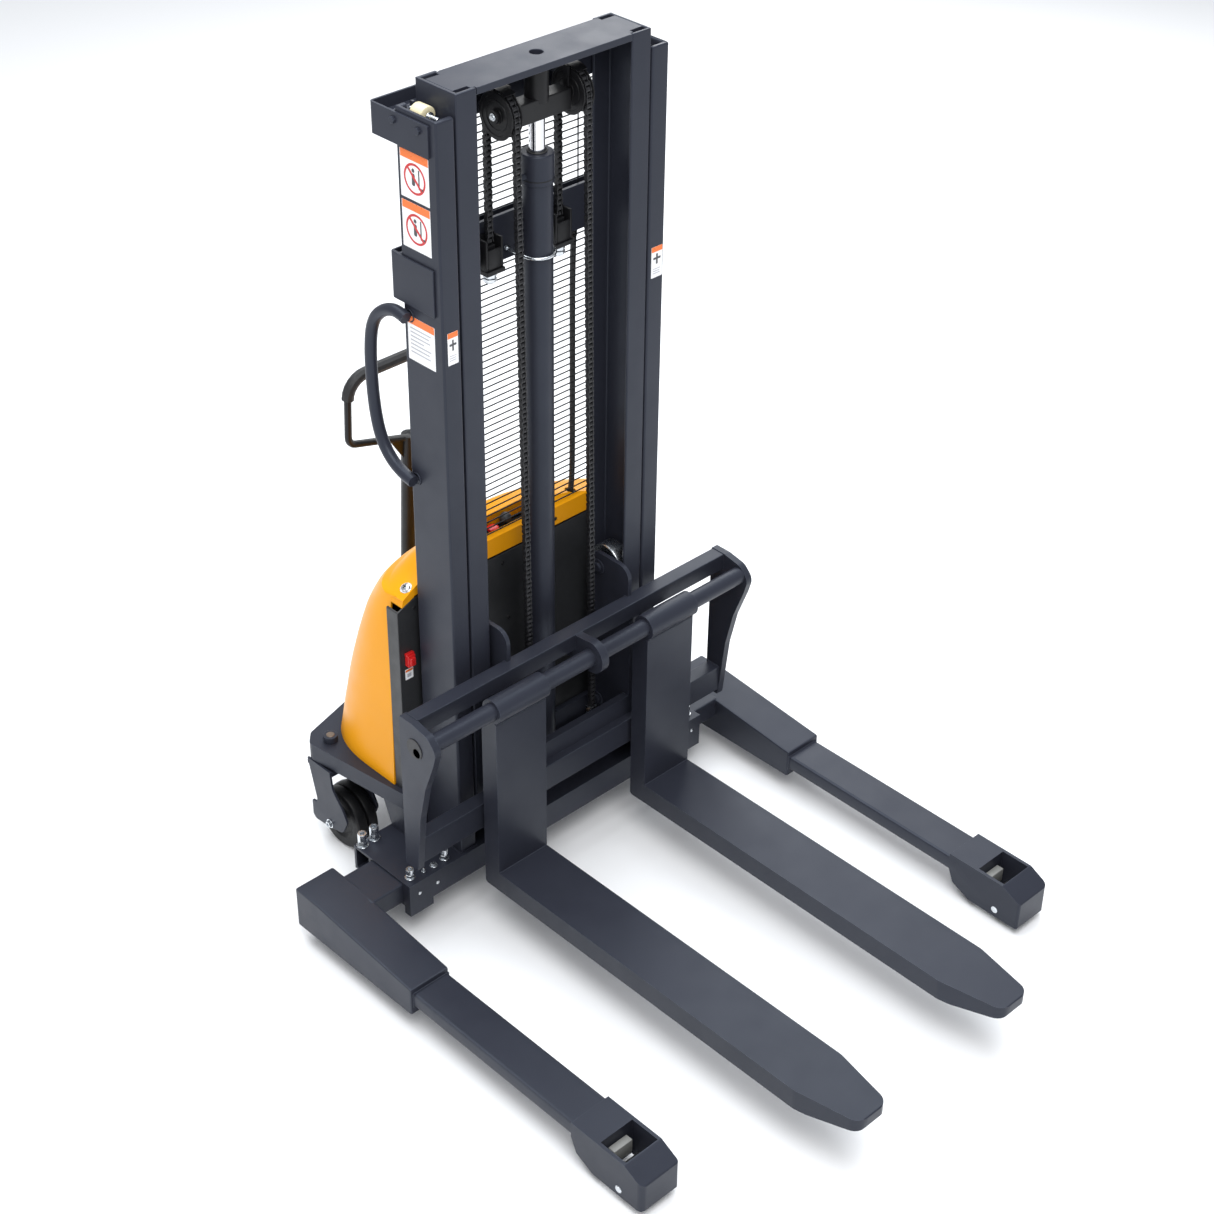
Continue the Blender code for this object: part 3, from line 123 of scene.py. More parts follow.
# name, place, the point it faces, size, watts, colour
LIGHTS = (
    ("key", (-2.5, -3.0, 6.5), (0, 0, 0.6), (4, 4), 300, WHITE),
    ("overhead", (0.5, 1.0, 6.0), (0, 0, 0.5), (6, 6), 420, COOL_WHITE),
    ("fill", (-6.0, 0.5, 2.5), (0, 0.2, 0.9), (3, 3), 42, WHITE),
    ("rim", (4.5, 3.5, 3.5), (0, 0, 1.0), (3, 4), 110, WHITE),
)


def make_camera():
    a, e, r = CAMERA_AZIMUTH, CAMERA_ELEVATION, CAMERA_ROLL
    back = Vector((sin(a) * cos(e), -cos(a) * cos(e), sin(e)))
    right = UP.cross(back).normalized()
    up = back.cross(right)
    turned_right = right * cos(r) + up * sin(r)
    turned_up = up * cos(r) - right * sin(r)
    data = bpy.data.cameras.new("camera")
    data.lens = CAMERA_LENS
    data.sensor_width = SENSOR_WIDTH
    data.clip_end = 60.0
    camera = bpy.data.objects.new("camera", data)
    bpy.context.scene.collection.objects.link(camera)
    place = at(*CAMERA_PLACE)
    columns = (turned_right, turned_up, back)
    camera.matrix_world = Matrix(
        [[c[row] for c in columns] + [place[row]] for row in range(3)] + [[0, 0, 0, 1]]
    )
    bpy.context.scene.camera = camera


def area_light(name, place, target, size, power, colour):
    data = bpy.data.lights.new(name, "AREA")
    data.shape = "RECTANGLE"
    data.size = size[0]
    data.size_y = size[1]
    data.energy = power
    data.color = colour
    light = bpy.data.objects.new(name, data)
    bpy.context.scene.collection.objects.link(light)
    light.location = place
    light.rotation_euler = (Vector(target) - Vector(place)).to_track_quat("-Z", "Y").to_euler()


def make_floor():
    bm = bmesh.new()
    bmesh.ops.create_grid(bm, x_segments=1, y_segments=1, size=FLOOR_SIZE)
    floor = bpy.data.objects.new("floor", bpy.data.meshes.new("floor"))
    bm.to_mesh(floor.data)
    bm.free()
    bpy.context.scene.collection.objects.link(floor)
    floor.location.z = -FLOOR_DROP
    pale = bpy.data.materials.new("pale_floor")
    pale.use_nodes = True
    shader = pale.node_tree.nodes["Principled BSDF"]
    shader.inputs["Base Color"].default_value = FLOOR_COLOUR
    shader.inputs["Roughness"].default_value = 0.9
    floor.data.materials.append(pale)


def make_studio():
    scene = bpy.context.scene
    scene.view_settings.view_transform = "Standard"
    world = bpy.data.worlds.new("studio")
    scene.world = world
    world.use_nodes = True
    background = world.node_tree.nodes["Background"]
    background.inputs["Color"].default_value = WORLD_COLOUR
    background.inputs["Strength"].default_value = WORLD_STRENGTH
    for light in LIGHTS:
        area_light(*light)
    make_floor()


# Materials

def node_of(tree, kind, **values):
    node = tree.nodes.new(kind)
    for key, value in values.items():
        node.inputs[key].default_value = value
    return node


def noise_texture(tree, vector, scale, detail):
    texture = node_of(tree, "ShaderNodeTexNoise", Scale=scale, Detail=detail, Roughness=0.55)
    tree.links.new(vector, texture.inputs["Vector"])
    return texture.outputs["Fac"]


def remap(tree, value, low_in, high_in, low_out, high_out):
    node = node_of(tree, "ShaderNodeMapRange")
    for key, number in zip(
        ("From Min", "From Max", "To Min", "To Max"), (low_in, high_in, low_out, high_out)
    ):
        node.inputs[key].default_value = number
    tree.links.new(value, node.inputs["Value"])
    return node.outputs["Result"]


def mix_colour(tree, factor, first, second):
    node = tree.nodes.new("ShaderNodeMix")
    node.data_type = "RGBA"
    for socket, value in ((node.inputs[6], first), (node.inputs[7], second)):
        if isinstance(value, tuple):
            socket.default_value = (*value, 1)
        else:
            tree.links.new(value, socket)
    tree.links.new(factor, node.inputs[0])
    return node.outputs[2]


EDGE_SHEEN_REACH = 0.0022
COAT_ROUGHNESS = 0.25


def edge_sheen_mask(tree, coordinates):
    """Bright where two faces meet: a painted highlight along the edges, broken up in patches like rubbed
    paint.
    """
    bevel = tree.nodes.new("ShaderNodeBevel")
    bevel.samples = 3
    bevel.inputs["Radius"].default_value = EDGE_SHEEN_REACH
    geometry = tree.nodes.new("ShaderNodeNewGeometry")
    dot = tree.nodes.new("ShaderNodeVectorMath")
    dot.operation = "DOT_PRODUCT"
    tree.links.new(bevel.outputs["Normal"], dot.inputs[0])
    tree.links.new(geometry.outputs["Normal"], dot.inputs[1])
    edge = remap(tree, dot.outputs["Value"], 0.97, 0.75, 0.0, 1.0)
    patches = remap(tree, noise_texture(tree, coordinates, 45, 4), 0.42, 0.62, 0.25, 1.0)
    product = tree.nodes.new("ShaderNodeMath")
    product.operation = "MULTIPLY"
    tree.links.new(edge, product.inputs[0])
    tree.links.new(patches, product.inputs[1])
    return product.outputs["Value"]


def surface(name, colour, rough, metallic=0.0, *, spread, grain, bump, patch=6.0, depth=0.0002,
            stretch=(1, 1, 1), wear=None, coat=0.0, gloss=0.5, tint=(1, 1, 1)):
    """A painted, moulded or metal surface: colour drifts in patches, roughness and grain in noise."""
    material = bpy.data.materials.new(name)
    material.use_nodes = True
    tree = material.node_tree
    shader = tree.nodes["Principled BSDF"]
    shader.inputs["Metallic"].default_value = metallic
    shader.inputs["Specular IOR Level"].default_value = gloss
    shader.inputs["Specular Tint"].default_value = (*tint, 1)
    shader.inputs["Coat Weight"].default_value = coat
    shader.inputs["Coat Roughness"].default_value = COAT_ROUGHNESS
    coordinates = tree.nodes.new("ShaderNodeTexCoord").outputs["Object"]
    mapping = node_of(tree, "ShaderNodeMapping", Scale=stretch)
    tree.links.new(coordinates, mapping.inputs["Vector"])
    place = mapping.outputs["Vector"]
    darker = tuple(c * (1 - spread) for c in colour)
    lighter = tuple(min(1.0, c * (1 + spread)) for c in colour)
    drift = remap(tree, noise_texture(tree, place, patch, 5), 0.3, 0.7, 0.0, 1.0)
    shade = mix_colour(tree, drift, darker, lighter)
    # a paler colour mixed in along the edges: a painted highlight
    if wear:
        shade = mix_colour(tree, edge_sheen_mask(tree, place), shade, wear)
    tree.links.new(shade, shader.inputs["Base Color"])
    blotch = noise_texture(tree, place, patch * 6, 6)
    tree.links.new(
        remap(tree, blotch, 0.3, 0.7, rough * 0.86, min(1.0, rough * 1.14)), shader.inputs["Roughness"]
    )
    relief = tree.nodes.new("ShaderNodeBump")
    relief.inputs["Strength"].default_value = bump
    relief.inputs["Distance"].default_value = depth
    tree.links.new(noise_texture(tree, place, grain, 2), relief.inputs["Height"])
    tree.links.new(relief.outputs["Normal"], shader.inputs["Normal"])
    return material


SKY_TINT = (0.78, 0.88, 1.0)        # the paint's gloss throws back a slightly blue light
# the slate paint's paler, bluer edge colour is a painted highlight along its edges
slate = surface("slate_paint", (0.0235, 0.0252, 0.0355), 0.38, spread=0.10, patch=2.5, grain=700,
                bump=0.25, wear=(0.062, 0.070, 0.094), gloss=0.27, tint=SKY_TINT)
slate_cast = surface("slate_cast", (0.0225, 0.0250, 0.0340), 0.5, spread=0.10, patch=8, grain=350,
                     bump=0.4, depth=0.0004, gloss=0.3, tint=SKY_TINT)
dark_cast = surface("dark_cast", (0.014, 0.014, 0.016), 0.5, spread=0.15, patch=30, grain=350, bump=0.4)
black_paint = surface("black_paint", (0.008, 0.008, 0.009), 0.42, spread=0.15, grain=600, bump=0.2,
                      gloss=0.3)
black_plastic = surface("black_plastic", (0.020, 0.021, 0.023), 0.45, spread=0.1, grain=1400, bump=0.35)
amber = surface("amber_plastic", (0.800, 0.325, 0.006), 0.36, spread=0.025, patch=3, grain=220,
                bump=0.05, coat=0.04, gloss=0.13)
zinc = surface("zinc", (0.66, 0.69, 0.72), 0.26, 1.0, spread=0.12, patch=90, grain=1600, bump=0.15)
chain_steel = surface("chain_steel", (0.014, 0.014, 0.016), 0.36, 0.25, spread=0.35, patch=120,
                      grain=900, bump=0.2)
chrome = surface("chrome", (0.80, 0.80, 0.82), 0.10, 1.0, spread=0.02, patch=40, grain=500, bump=0.04,
                 stretch=(1, 1, 0.04))
cream_nylon = surface("cream_nylon", (0.72, 0.64, 0.42), 0.42, spread=0.06, patch=60, grain=900, bump=0.1)
load_nylon = surface("load_nylon", (0.022, 0.022, 0.024), 0.45, spread=0.2, patch=40, grain=600, bump=0.2)
pale_nylon = surface("pale_nylon", (0.20, 0.20, 0.19), 0.5, spread=0.08, patch=40, grain=600, bump=0.2)
worn_brass = surface("worn_brass", (0.17, 0.13, 0.10), 0.4, 0.8, spread=0.2, patch=90, grain=900, bump=0.3)
red_plastic = surface("red_plastic", (0.52, 0.012, 0.012), 0.3, spread=0.08, patch=50, grain=900, bump=0.1)
rubber = surface("rubber", (0.016, 0.016, 0.017), 0.55, spread=0.2, patch=30, grain=1200, bump=0.4)
tyre = surface("tyre_rubber", (0.007, 0.007, 0.008), 0.5, spread=0.25, patch=25, grain=500, bump=0.4,
               gloss=0.3)


def sticker_ink(name, colour, rough, spread):
    return surface(name, colour, rough, spread=spread, patch=20, grain=500, bump=0.03)


label_white = sticker_ink("label_white", (0.86, 0.86, 0.87), 0.3, 0.02)
label_orange = sticker_ink("label_orange", (0.82, 0.17, 0.02), 0.3, 0.03)
label_red = sticker_ink("label_red", (0.55, 0.02, 0.02), 0.3, 0.03)
label_ink = sticker_ink("label_ink", (0.05, 0.05, 0.055), 0.35, 0.05)
label_grey = sticker_ink("label_grey", (0.42, 0.42, 0.45), 0.35, 0.05)

SLOT_MATERIALS = {
    "slate_paint": slate, "black_paint": black_paint, "black_plastic": black_plastic,
    "amber_plastic": amber, "zinc": zinc, "chain_steel": chain_steel, "chromed_steel": chrome,
    "cream_nylon": cream_nylon, "load_nylon": load_nylon, "red_plastic": red_plastic,
    "rubber": rubber, "tyre_rubber": tyre,
}


# Mesh tools

def piece(name, bm, material, body, angle=40, stands_for=()):
    """Turns a finished bmesh into a named piece that rides on a body."""
    bmesh.ops.recalc_face_normals(bm, faces=bm.faces)
    mesh = bpy.data.meshes.new(name)
    bm.to_mesh(mesh)
    bm.free()
    mesh.shade_smooth()
    mesh.set_sharp_from_angle(angle=radians(angle))
    mesh.materials.append(material)
    obj = bpy.data.objects.new(name, mesh)
    bpy.context.scene.collection.objects.link(obj)
    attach(obj, body)
    if stands_for:
        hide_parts(*stands_for)
    return obj


def eased(obj, width, segments, angle):
    """Rounds a piece's sharp edges."""
    bevel = obj.modifiers.new("Bevel", "BEVEL")
    bevel.width = width
    bevel.segments = segments
    bevel.limit_method = "ANGLE"
    bevel.angle_limit = radians(angle)


SHARP_ANGLE = 32
SAME_PLACE = 2e-6
FLAT_ANGLE = 0.4


def refine(node, width):
    """A CAD node with its flat faces rejoined and its sharp edges eased."""
    source = frame["nodes"][node]
    bm = bmesh.new()
    bm.from_mesh(source.data)
    bmesh.ops.remove_doubles(bm, verts=bm.verts, dist=SAME_PLACE)
    bmesh.ops.dissolve_limit(
        bm, angle_limit=radians(FLAT_ANGLE), verts=bm.verts, edges=bm.edges, use_dissolve_boundaries=False
    )
    slot = SLOT_OF[node]
    material = SLOT_MATERIALS[slot]
    obj = piece(node + "_body", bm, material, source["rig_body"], SHARP_ANGLE, (node,))
    if width:
        eased(obj, width, 3 if width > 0.002 else 2, SHARP_ANGLE)
    normals = obj.modifiers.new("Normals", "WEIGHTED_NORMAL")
    normals.keep_sharp = True


def basis(axis):
    """Two directions square to an axis."""
    axis = Vector(axis).normalized()
    first = axis.orthogonal().normalized()
    if abs(axis.z) < 0.9:
        first = axis.cross(UP).normalized()
    return axis, first, axis.cross(first)


def lathe(bm, profile, origin, axis, steps, turn=0.0):
    """A closed turned shape: profile holds (radius, height along the axis)."""
    axis, first, second = basis(axis)
    rings = []
    for radius, height in profile:
        centre = Vector(origin) + axis * height
        if radius <= 0:
            rings.append([bm.verts.new(centre)])
            continue
        ring = []
        for i in range(steps):
            a = turn + 2 * pi * i / steps
            ring.append(bm.verts.new(centre + first * (radius * cos(a)) + second * (radius * sin(a))))
        rings.append(ring)
    for lower, upper in zip(rings, rings[1:]):
        for i in range(steps):
            j = (i + 1) % steps
            corners = [lower[i % len(lower)], lower[j % len(lower)],
                       upper[j % len(upper)], upper[i % len(upper)]]
            unique = list(dict.fromkeys(corners))
            if len(unique) > 2:
                bm.faces.new(unique)
    if len(rings[0]) > 1 and len(rings[-1]) > 1 and profile[0] != profile[-1]:
        bm.faces.new(rings[0])
        bm.faces.new(list(reversed(rings[-1])))


def turned(name, profile, place, material, body, steps, axis=UP, stands_for=()):
    """One turned shape as a piece of its own."""
    bm = bmesh.new()
    lathe(bm, profile, place, axis, steps)
    piece(name, bm, material, body, angle=35, stands_for=stands_for)


def sweep(bm, points, radius, sides):
    """A round tube through points; radius may be a function of the point's number."""
    points = [Vector(p) for p in points]
    size = radius if callable(radius) else (lambda i: radius)
    tangents = [(ahead - behind).normalized()
                for behind, ahead in zip([points[0]] + points[:-1], points[1:] + [points[-1]])]
    across = basis(tangents[0])[1]
    rings = []
    for i, (point, tangent) in enumerate(zip(points, tangents)):
        across = (across - tangent * across.dot(tangent)).normalized()
        other = tangent.cross(across)
        ring = []
        for k in range(sides):
            a = 2 * pi * k / sides
            ring.append(bm.verts.new(point + (across * cos(a) + other * sin(a)) * size(i)))
        rings.append(ring)
    for lower, upper in zip(rings, rings[1:]):
        for k in range(sides):
            j = (k + 1) % sides
            bm.faces.new((lower[k], lower[j], upper[j], upper[k]))
    bm.faces.new(rings[0])
    bm.faces.new(list(reversed(rings[-1])))


def slab(bm, outline, origin, u, v, thickness):
    """A flat plate: outline holds (u, v) points, thickness runs along u x v."""
    u, v = Vector(u), Vector(v)
    normal = u.cross(v).normalized() * thickness
    lower = [bm.verts.new(Vector(origin) + u * a + v * b) for a, b in outline]
    upper = [bm.verts.new(p.co + normal) for p in lower]
    bm.faces.new(list(reversed(lower)))
    bm.faces.new(upper)
    count = len(outline)
    for i in range(count):
        j = (i + 1) % count
        bm.faces.new((lower[i], lower[j], upper[j], upper[i]))


def rounded(width, height, radius, steps=4):
    """A rectangle about the origin with round corners."""
    out = []
    reach_x, reach_y = width / 2 - radius, height / 2 - radius
    for cx, cy, start in ((1, 1, 0), (-1, 1, 90), (-1, -1, 180), (1, -1, 270)):
        for i in range(steps + 1):
            a = radians(start + 90 * i / steps)
            out.append((cx * reach_x + radius * cos(a), cy * reach_y + radius * sin(a)))
    return out


def soft_curve(points, steps):
    """Vectors on a soft curve through the points, each with its stretch's number and the share of it."""
    last = len(points) - 1
    for i in range(last):
        a, b, c, d = points[max(i - 1, 0)], points[i], points[i + 1], points[min(i + 2, last)]
        for k in range(steps):
            t = k / steps
            bend = (c - a) * t + (a * 2 - b * 5 + c * 4 - d) * t * t + (b * 3 - a - c * 3 + d) * t ** 3
            yield b + bend * 0.5, i, t


def smooth_path(points, steps):
    """The curve's own places, with the last point."""
    return [place for place, _, _ in soft_curve(points, steps)] + [points[-1]]


def block(bm, x, y, z, ease):
    """A box between limits in the mast's axes, with eased edges."""
    made = bmesh.ops.create_cube(bm, size=1.0)["verts"]
    size = Vector((x[1] - x[0], y[1] - y[0], z[1] - z[0]))
    centre = at((x[0] + x[1]) / 2, (y[0] + y[1]) / 2, (z[0] + z[1]) / 2)
    for vert in made:
        vert.co = centre + Vector(a * b for a, b in zip(vert.co, size))
    edges = {edge for vert in made for edge in vert.link_edges}
    if ease:
        bmesh.ops.bevel(bm, geom=list(edges), offset=ease, segments=2, affect="EDGES", profile=0.5)


def span(side, inner, outer):
    """Limits of x on one side of the machine, smaller first."""
    return (inner, outer) if side > 0 else (-outer, -inner)


BEAD_STEP = 0.0028
BEAD_RIPPLE = 0.10
BEAD_WANDER = 0.16


def weld(name, body, *paths):
    """Fillet weld beads along paths in the mast's axes: (points, radius)."""
    bm = bmesh.new()
    for points, radius in paths:
        dense = []
        for start, end in zip(points, points[1:]):
            start, end = at(*start), at(*end)
            steps = max(2, int((end - start).length / BEAD_STEP))
            dense += [start.lerp(end, i / steps) for i in range(steps)]
        dense.append(at(*points[-1]))
        sizes = [radius * (1 + BEAD_RIPPLE * (i % 2) + BEAD_WANDER * noise.noise(p * 140))
                 for i, p in enumerate(dense)]
        sweep(bm, dense, sizes.__getitem__, 8)
    piece(name, bm, slate, body, angle=60)


# Fasteners

def washer(bm, origin, axis, radius, thickness, bore=0.0):
    """A flat disc with eased rims, or a ring when it has a bore."""
    ease = thickness * 0.25
    lathe(bm, [(bore, 0), (radius - ease, 0), (radius, ease), (radius, thickness - ease),
               (radius - ease, thickness), (bore, thickness)], origin, axis, 28)


def hex_head(bm, origin, axis, radius, height):
    """A hexagon with its top corners turned off."""
    lathe(bm, [(0, 0), (radius, 0), (radius, height * 0.82), (radius * 0.86, height), (0, height)],
          origin, axis, 6, 0.26)
    lathe(bm, [(0, height * 0.99), (radius * 0.82, height * 0.99), (radius * 0.78, height * 1.04),
               (0, height * 1.04)], origin, axis, 24)


def socket_head(bm, origin, axis, radius, height):
    """A round cap screw head with a hexagon socket sunk in its top."""
    lathe(bm, [(0, 0), (radius, 0), (radius, height * 0.88), (radius * 0.92, height),
               (radius * 0.58, height), (radius * 0.52, height * 0.94), (radius * 0.52, height * 0.45),
               (0, height * 0.40)], origin, axis, 24)


def pan_head(bm, origin, axis, radius, height):
    """A domed head."""
    dome = [(radius * cos(radians(a)), height * (0.25 + 0.75 * sin(radians(a)))) for a in range(0, 81, 10)]
    lathe(bm, [(0, 0), (radius, 0)] + dome + [(0, height)], origin, axis, 24)


def recess_shade_cross(bm, origin, axis, radius, height):
    """A flat cross laid on top of a head; drawn black, it is painted shade where a cross recess would be.
    """
    axis, first, second = basis(axis)
    for u, v in ((first, second), (second, -first)):
        arm = rounded(radius * 1.15, radius * 0.24, radius * 0.1, 2)
        slab(bm, arm, Vector(origin) + axis * height, u, v, radius * 0.05)


make_camera()
make_studio()


# Chains

CHAIN_PITCH = 0.0127
PLATE_HEIGHT = 0.0126
PLATE_T = 0.0018
ROLLER_RADIUS = 0.0056
PIN_RADIUS = 0.0022
OUTER_OFFSET = 0.0072
INNER_OFFSET = 0.0052
PIN_REACH = 0.0090
PIN_EASE = 0.0005
ROLLER_HALF = 0.0037
CLEVIS_SINK = 0.004
CARRIAGE_CHAIN_TOP = 0.61
OVERLAP_LINKS = 8                   # the two runs share these links, so no gap opens at the lowest pose
RUN_NARROWING = 0.985               # keeps the shared links just inside each other


def link_plate(bm, here, ahead, offset):
    """A waisted side plate from one pin to the next."""
    along = (ahead - here).normalized()
    rise = RIGHT.cross(along)
    pitch = (ahead - here).length
    half = PLATE_HEIGHT / 2
    outline = []
    for centre, start in ((pitch, -90), (0.0, 90)):
        for i in range(7):
            a = radians(start + 180 * i / 6)
            outline.append((centre + half * cos(a), half * sin(a)))
        waist = half * 0.74
        outline.append((pitch / 2, waist if start < 0 else -waist))
    slab(bm, outline, here + RIGHT * (offset - PLATE_T / 2), along, rise, PLATE_T)


def chain_links(name, points, body, narrow=1.0, first=0):
    """Roller chain with its pins at the points."""
    bm = bmesh.new()
    for i, (here, ahead) in enumerate(zip(points, points[1:])):
        offset = (INNER_OFFSET if (i + first) % 2 else OUTER_OFFSET) * narrow
        for side in (-1, 1):
            link_plate(bm, here, ahead, side * offset)
    reach = PIN_REACH * narrow
    tip = PIN_RADIUS * 0.8
    for here in points:
        lathe(bm, [(ROLLER_RADIUS, -ROLLER_HALF), (ROLLER_RADIUS, ROLLER_HALF)], here, RIGHT, 12)
        lathe(bm, [(0, -reach), (tip, -reach), (PIN_RADIUS, -reach + PIN_EASE),
                   (PIN_RADIUS, reach - PIN_EASE), (tip, reach), (0, reach)], here, RIGHT, 10)
    return piece(name, bm, chain_steel, body, angle=35)


def spaced(start, end):
    """Pin places from start towards end, one pitch apart."""
    count = int((end - start).length / CHAIN_PITCH)
    step = (end - start).normalized() * CHAIN_PITCH
    return [start + step * i for i in range(count + 1)]


def anchor_run(word, centre, pitch_radius):
    """The run from the anchor up to the sheave; it grows as the mast rises."""
    x, y = centre.x, centre.y + pitch_radius
    anchor = at(x, y, low("chain_anchor_run_" + word).z)
    top = at(x, y, centre.z)
    run = chain_links("anchor_chain_" + word, spaced(top, anchor), "base", first=1)
    run.parent = None
    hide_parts("chain_anchor_run_" + word)
    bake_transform(run)


def sheave_turn(word, centre, pitch_radius):
    """The half turn over the sheave; returns the place where the chain leaves it."""
    steps = round(pi * pitch_radius / CHAIN_PITCH)
    wrap = []
    for i in range(steps + 1):
        a = pi * i / steps
        wrap.append(at(centre.x, centre.y + pitch_radius * cos(a), centre.z + pitch_radius * sin(a)))
    chain_links("sheave_chain_" + word, wrap, "inner_mast")
    return wrap[-1]


def carriage_run(word, front_top):
    """The run down to the carriage: its foot rides, the rest closes up towards the sheave."""
    foot = at(front_top.x, middle("chain_clevis_" + word).y, high("chain_clevis_" + word).z - CLEVIS_SINK)
    whole = spaced(foot, front_top)
    hang = [p for p in whole if p.z < CARRIAGE_CHAIN_TOP]
    start = len(hang) - 1 - OVERLAP_LINKS
    chain_links("carriage_chain_" + word, hang, "carriage")
    run = whole[start:] + [front_top]
    front = chain_links("lift_chain_" + word, run, "inner_mast", RUN_NARROWING, start)
    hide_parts("chain_lift_" + word)
    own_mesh(front)


def make_chain(word):
    centre = middle("sheave_" + word)
    pitch_radius = middle("chain_anchor_run_" + word).y - centre.y
    anchor_run(word, centre, pitch_radius)
    front_top = sheave_turn(word, centre, pitch_radius)
    carriage_run(word, front_top)


for word, _ in SIDES:
    make_chain(word)


# Pieces redrawn with rounder or finer shapes

HANDLE_PATH = (
    (0.103, 1.613), (0.120, 1.617), (0.140, 1.618), (0.164, 1.611), (0.187, 1.597), (0.207, 1.577),
    (0.221, 1.550), (0.229, 1.515), (0.233, 1.470), (0.233, 1.420), (0.231, 1.375), (0.226, 1.332),
    (0.216, 1.290), (0.199, 1.256), (0.175, 1.231), (0.150, 1.217), (0.125, 1.209), (0.103, 1.205),
)
HOSE_PATH = (
    (0.205, 0.700), (0.204, 0.810), (0.195, 0.866), (0.173, 0.890), (0.164, 0.930), (0.159, 1.000),
    (0.158, 1.150), (0.158, 1.300), (0.158, 1.500), (0.154, 1.6395),
)
HOSE_X = 0.192
HOSE_RIB = 0.012
FERRULE = (
    (0, 0), (0.0092, 0), (0.0092, 0.006), (0.0080, 0.007), (0.0084, 0.009), (0.0080, 0.011),
    (0.0084, 0.013), (0.0080, 0.015), (0.0084, 0.024), (0.0074, 0.026), (0, 0.026),
)
GUARD_ROWS = 62
GUARD_LOW = 0.9365
GUARD_PITCH = 0.0172
GUARD_WIRE = 0.0017
GUARD_STRAY_X = 0.1937
GUARD_STRAY_Z = (1.74, 1.93)


def grab_handle():
    radius = (high("grab_handle").x - low("grab_handle").x) / 2
    x = low("grab_handle").x + radius
    bm = bmesh.new()
    sweep(bm, smooth_path([at(x, y, z) for y, z in HANDLE_PATH], 5), radius, 24)
    piece("grab_handle_tube", bm, slate, "base", stands_for=("grab_handle",))
    rings = []
    for y, z in (HANDLE_PATH[0], HANDLE_PATH[-1]):
        ring = []
        for i in range(13):
            a = radians(-80 + 340 * i / 12)
            ring.append((x + radius - 0.001, y + 0.004 + radius * 0.95 * cos(a), z + radius * sin(a)))
        rings.append((ring, 0.0016))
    weld("handle_welds", "base", *rings)


def hose():
    bm = bmesh.new()
    radius = (high("lift_hose").x - low("lift_hose").x) / 2
    path = smooth_path([at(HOSE_X, y, z) for y, z in HOSE_PATH], 8)
    sweep(bm, path, lambda i: radius * (1.0 + HOSE_RIB * (i % 2)), 20)
    piece("hose_cover", bm, rubber, "base", stands_for=("lift_hose",))
    end = at(HOSE_X, *HOSE_PATH[-1])
    down = (at(HOSE_X, *HOSE_PATH[-2]) - end).normalized()
    turned("hose_ferrule", FERRULE, end, black_paint, "base", 24, down)


def guard():
    """Level wires welded to the face of upright ones."""
    bm = bmesh.new()
    left, right = low("wire_guard").x, high("wire_guard").x
    level_y = low("wire_guard").y + GUARD_WIRE
    upright_y = level_y + GUARD_WIRE
    rows = [GUARD_LOW + GUARD_PITCH * row for row in range(GUARD_ROWS)]
    for z in rows:
        wire = [at(x, level_y, z) for x in (left, (left + right) / 2, right)]
        sweep(bm, wire, GUARD_WIRE, 8)
    stray = [z for z in rows if GUARD_STRAY_Z[0] < z < GUARD_STRAY_Z[1]]
    for x, held in ((left + GUARD_WIRE, rows), (right - GUARD_WIRE, rows), (GUARD_STRAY_X, stray)):
        sweep(bm, [at(x, upright_y, held[0]), at(x, upright_y, held[-1])], GUARD_WIRE, 8)
    piece("guard_wires", bm, black_paint, "base", stands_for=("wire_guard",))


def roller(node, profile, axis, material, steps, extra_name):
    """A turned piece at a CAD wheel: its profile is (radius, share of the half width), one half of it."""
    size = high(node) - low(node)
    half_width = size.x / 2 if axis == RIGHT else size.y / 2
    half = profile(size.z / 2)
    whole = half + [(r, -h) for r, h in reversed(half)]
    bm = bmesh.new()
    lathe(bm, [(r, h * half_width) for r, h in whole], at(*middle(node)), axis, steps)
    body = frame["nodes"][node]["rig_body"]
    stands_for = () if extra_name else (node,)
    piece(extra_name or node + "_turned", bm, material, body, 30, stands_for)


# Half profiles of the turned wheels, given the wheel's radius

def sheave_profile(big):
    return [
        (0.0103, 0.97), (0.0170, 0.97), (0.0175, 0.88), (0.0300, 0.88), (0.0306, 0.97),
        (0.0345, 0.97), (0.0350, 0.90), (0.0440, 0.90), (0.0446, 1.0), (big - 0.0010, 1.0),
        (big, 0.93), (big - 0.0008, 0.80), (0.0412, 0.66), (0.0400, 0.60), (0.0400, 0.02),
    ]


def thrust_roller_profile(big):
    return [
        (0.0063, 0.94), (0.0095, 0.94), (0.0098, 0.99), (0.0105, 1.0), (big - 0.0024, 1.0),
        (big - 0.0008, 0.96), (big, 0.86), (big, 0.02),
    ]


def carriage_roller_profile(big):
    return [
        (0.0163, 0.96), (0.0230, 0.96), (0.0232, 0.90), (0.0330, 0.90), (0.0332, 0.96),
        (0.0345, 1.0), (big - 0.0030, 1.0), (big - 0.0008, 0.93), (big, 0.86), (big, 0.02),
    ]


def load_wheel_profile(big):
    return [
        (0.0103, 0.97), (0.0150, 0.97), (0.0152, 0.91), (0.0215, 0.91), (0.0220, 0.99),
        (0.0240, 1.0), (big - 0.0055, 1.0), (big - 0.0020, 0.95), (big - 0.0004, 0.85), (big, 0.6),
    ]


def rear_wheel_profile(big):
    return [
        (0.0103, 0.96), (0.0200, 0.96), (0.0205, 0.72), (0.0270, 0.72), (0.0275, 0.80),
        (0.0470, 0.76), (0.0520, 0.86), (0.0560, 0.985), (0.0600, 1.0), (big - 0.0080, 1.0),
        (big - 0.0040, 0.975), (big - 0.0012, 0.90), (big, 0.78), (big, 0.24), (big - 0.0015, 0.12),
        (big - 0.0050, 0.085), (big - 0.0135, 0.075), (big - 0.0140, 0.02),
    ]


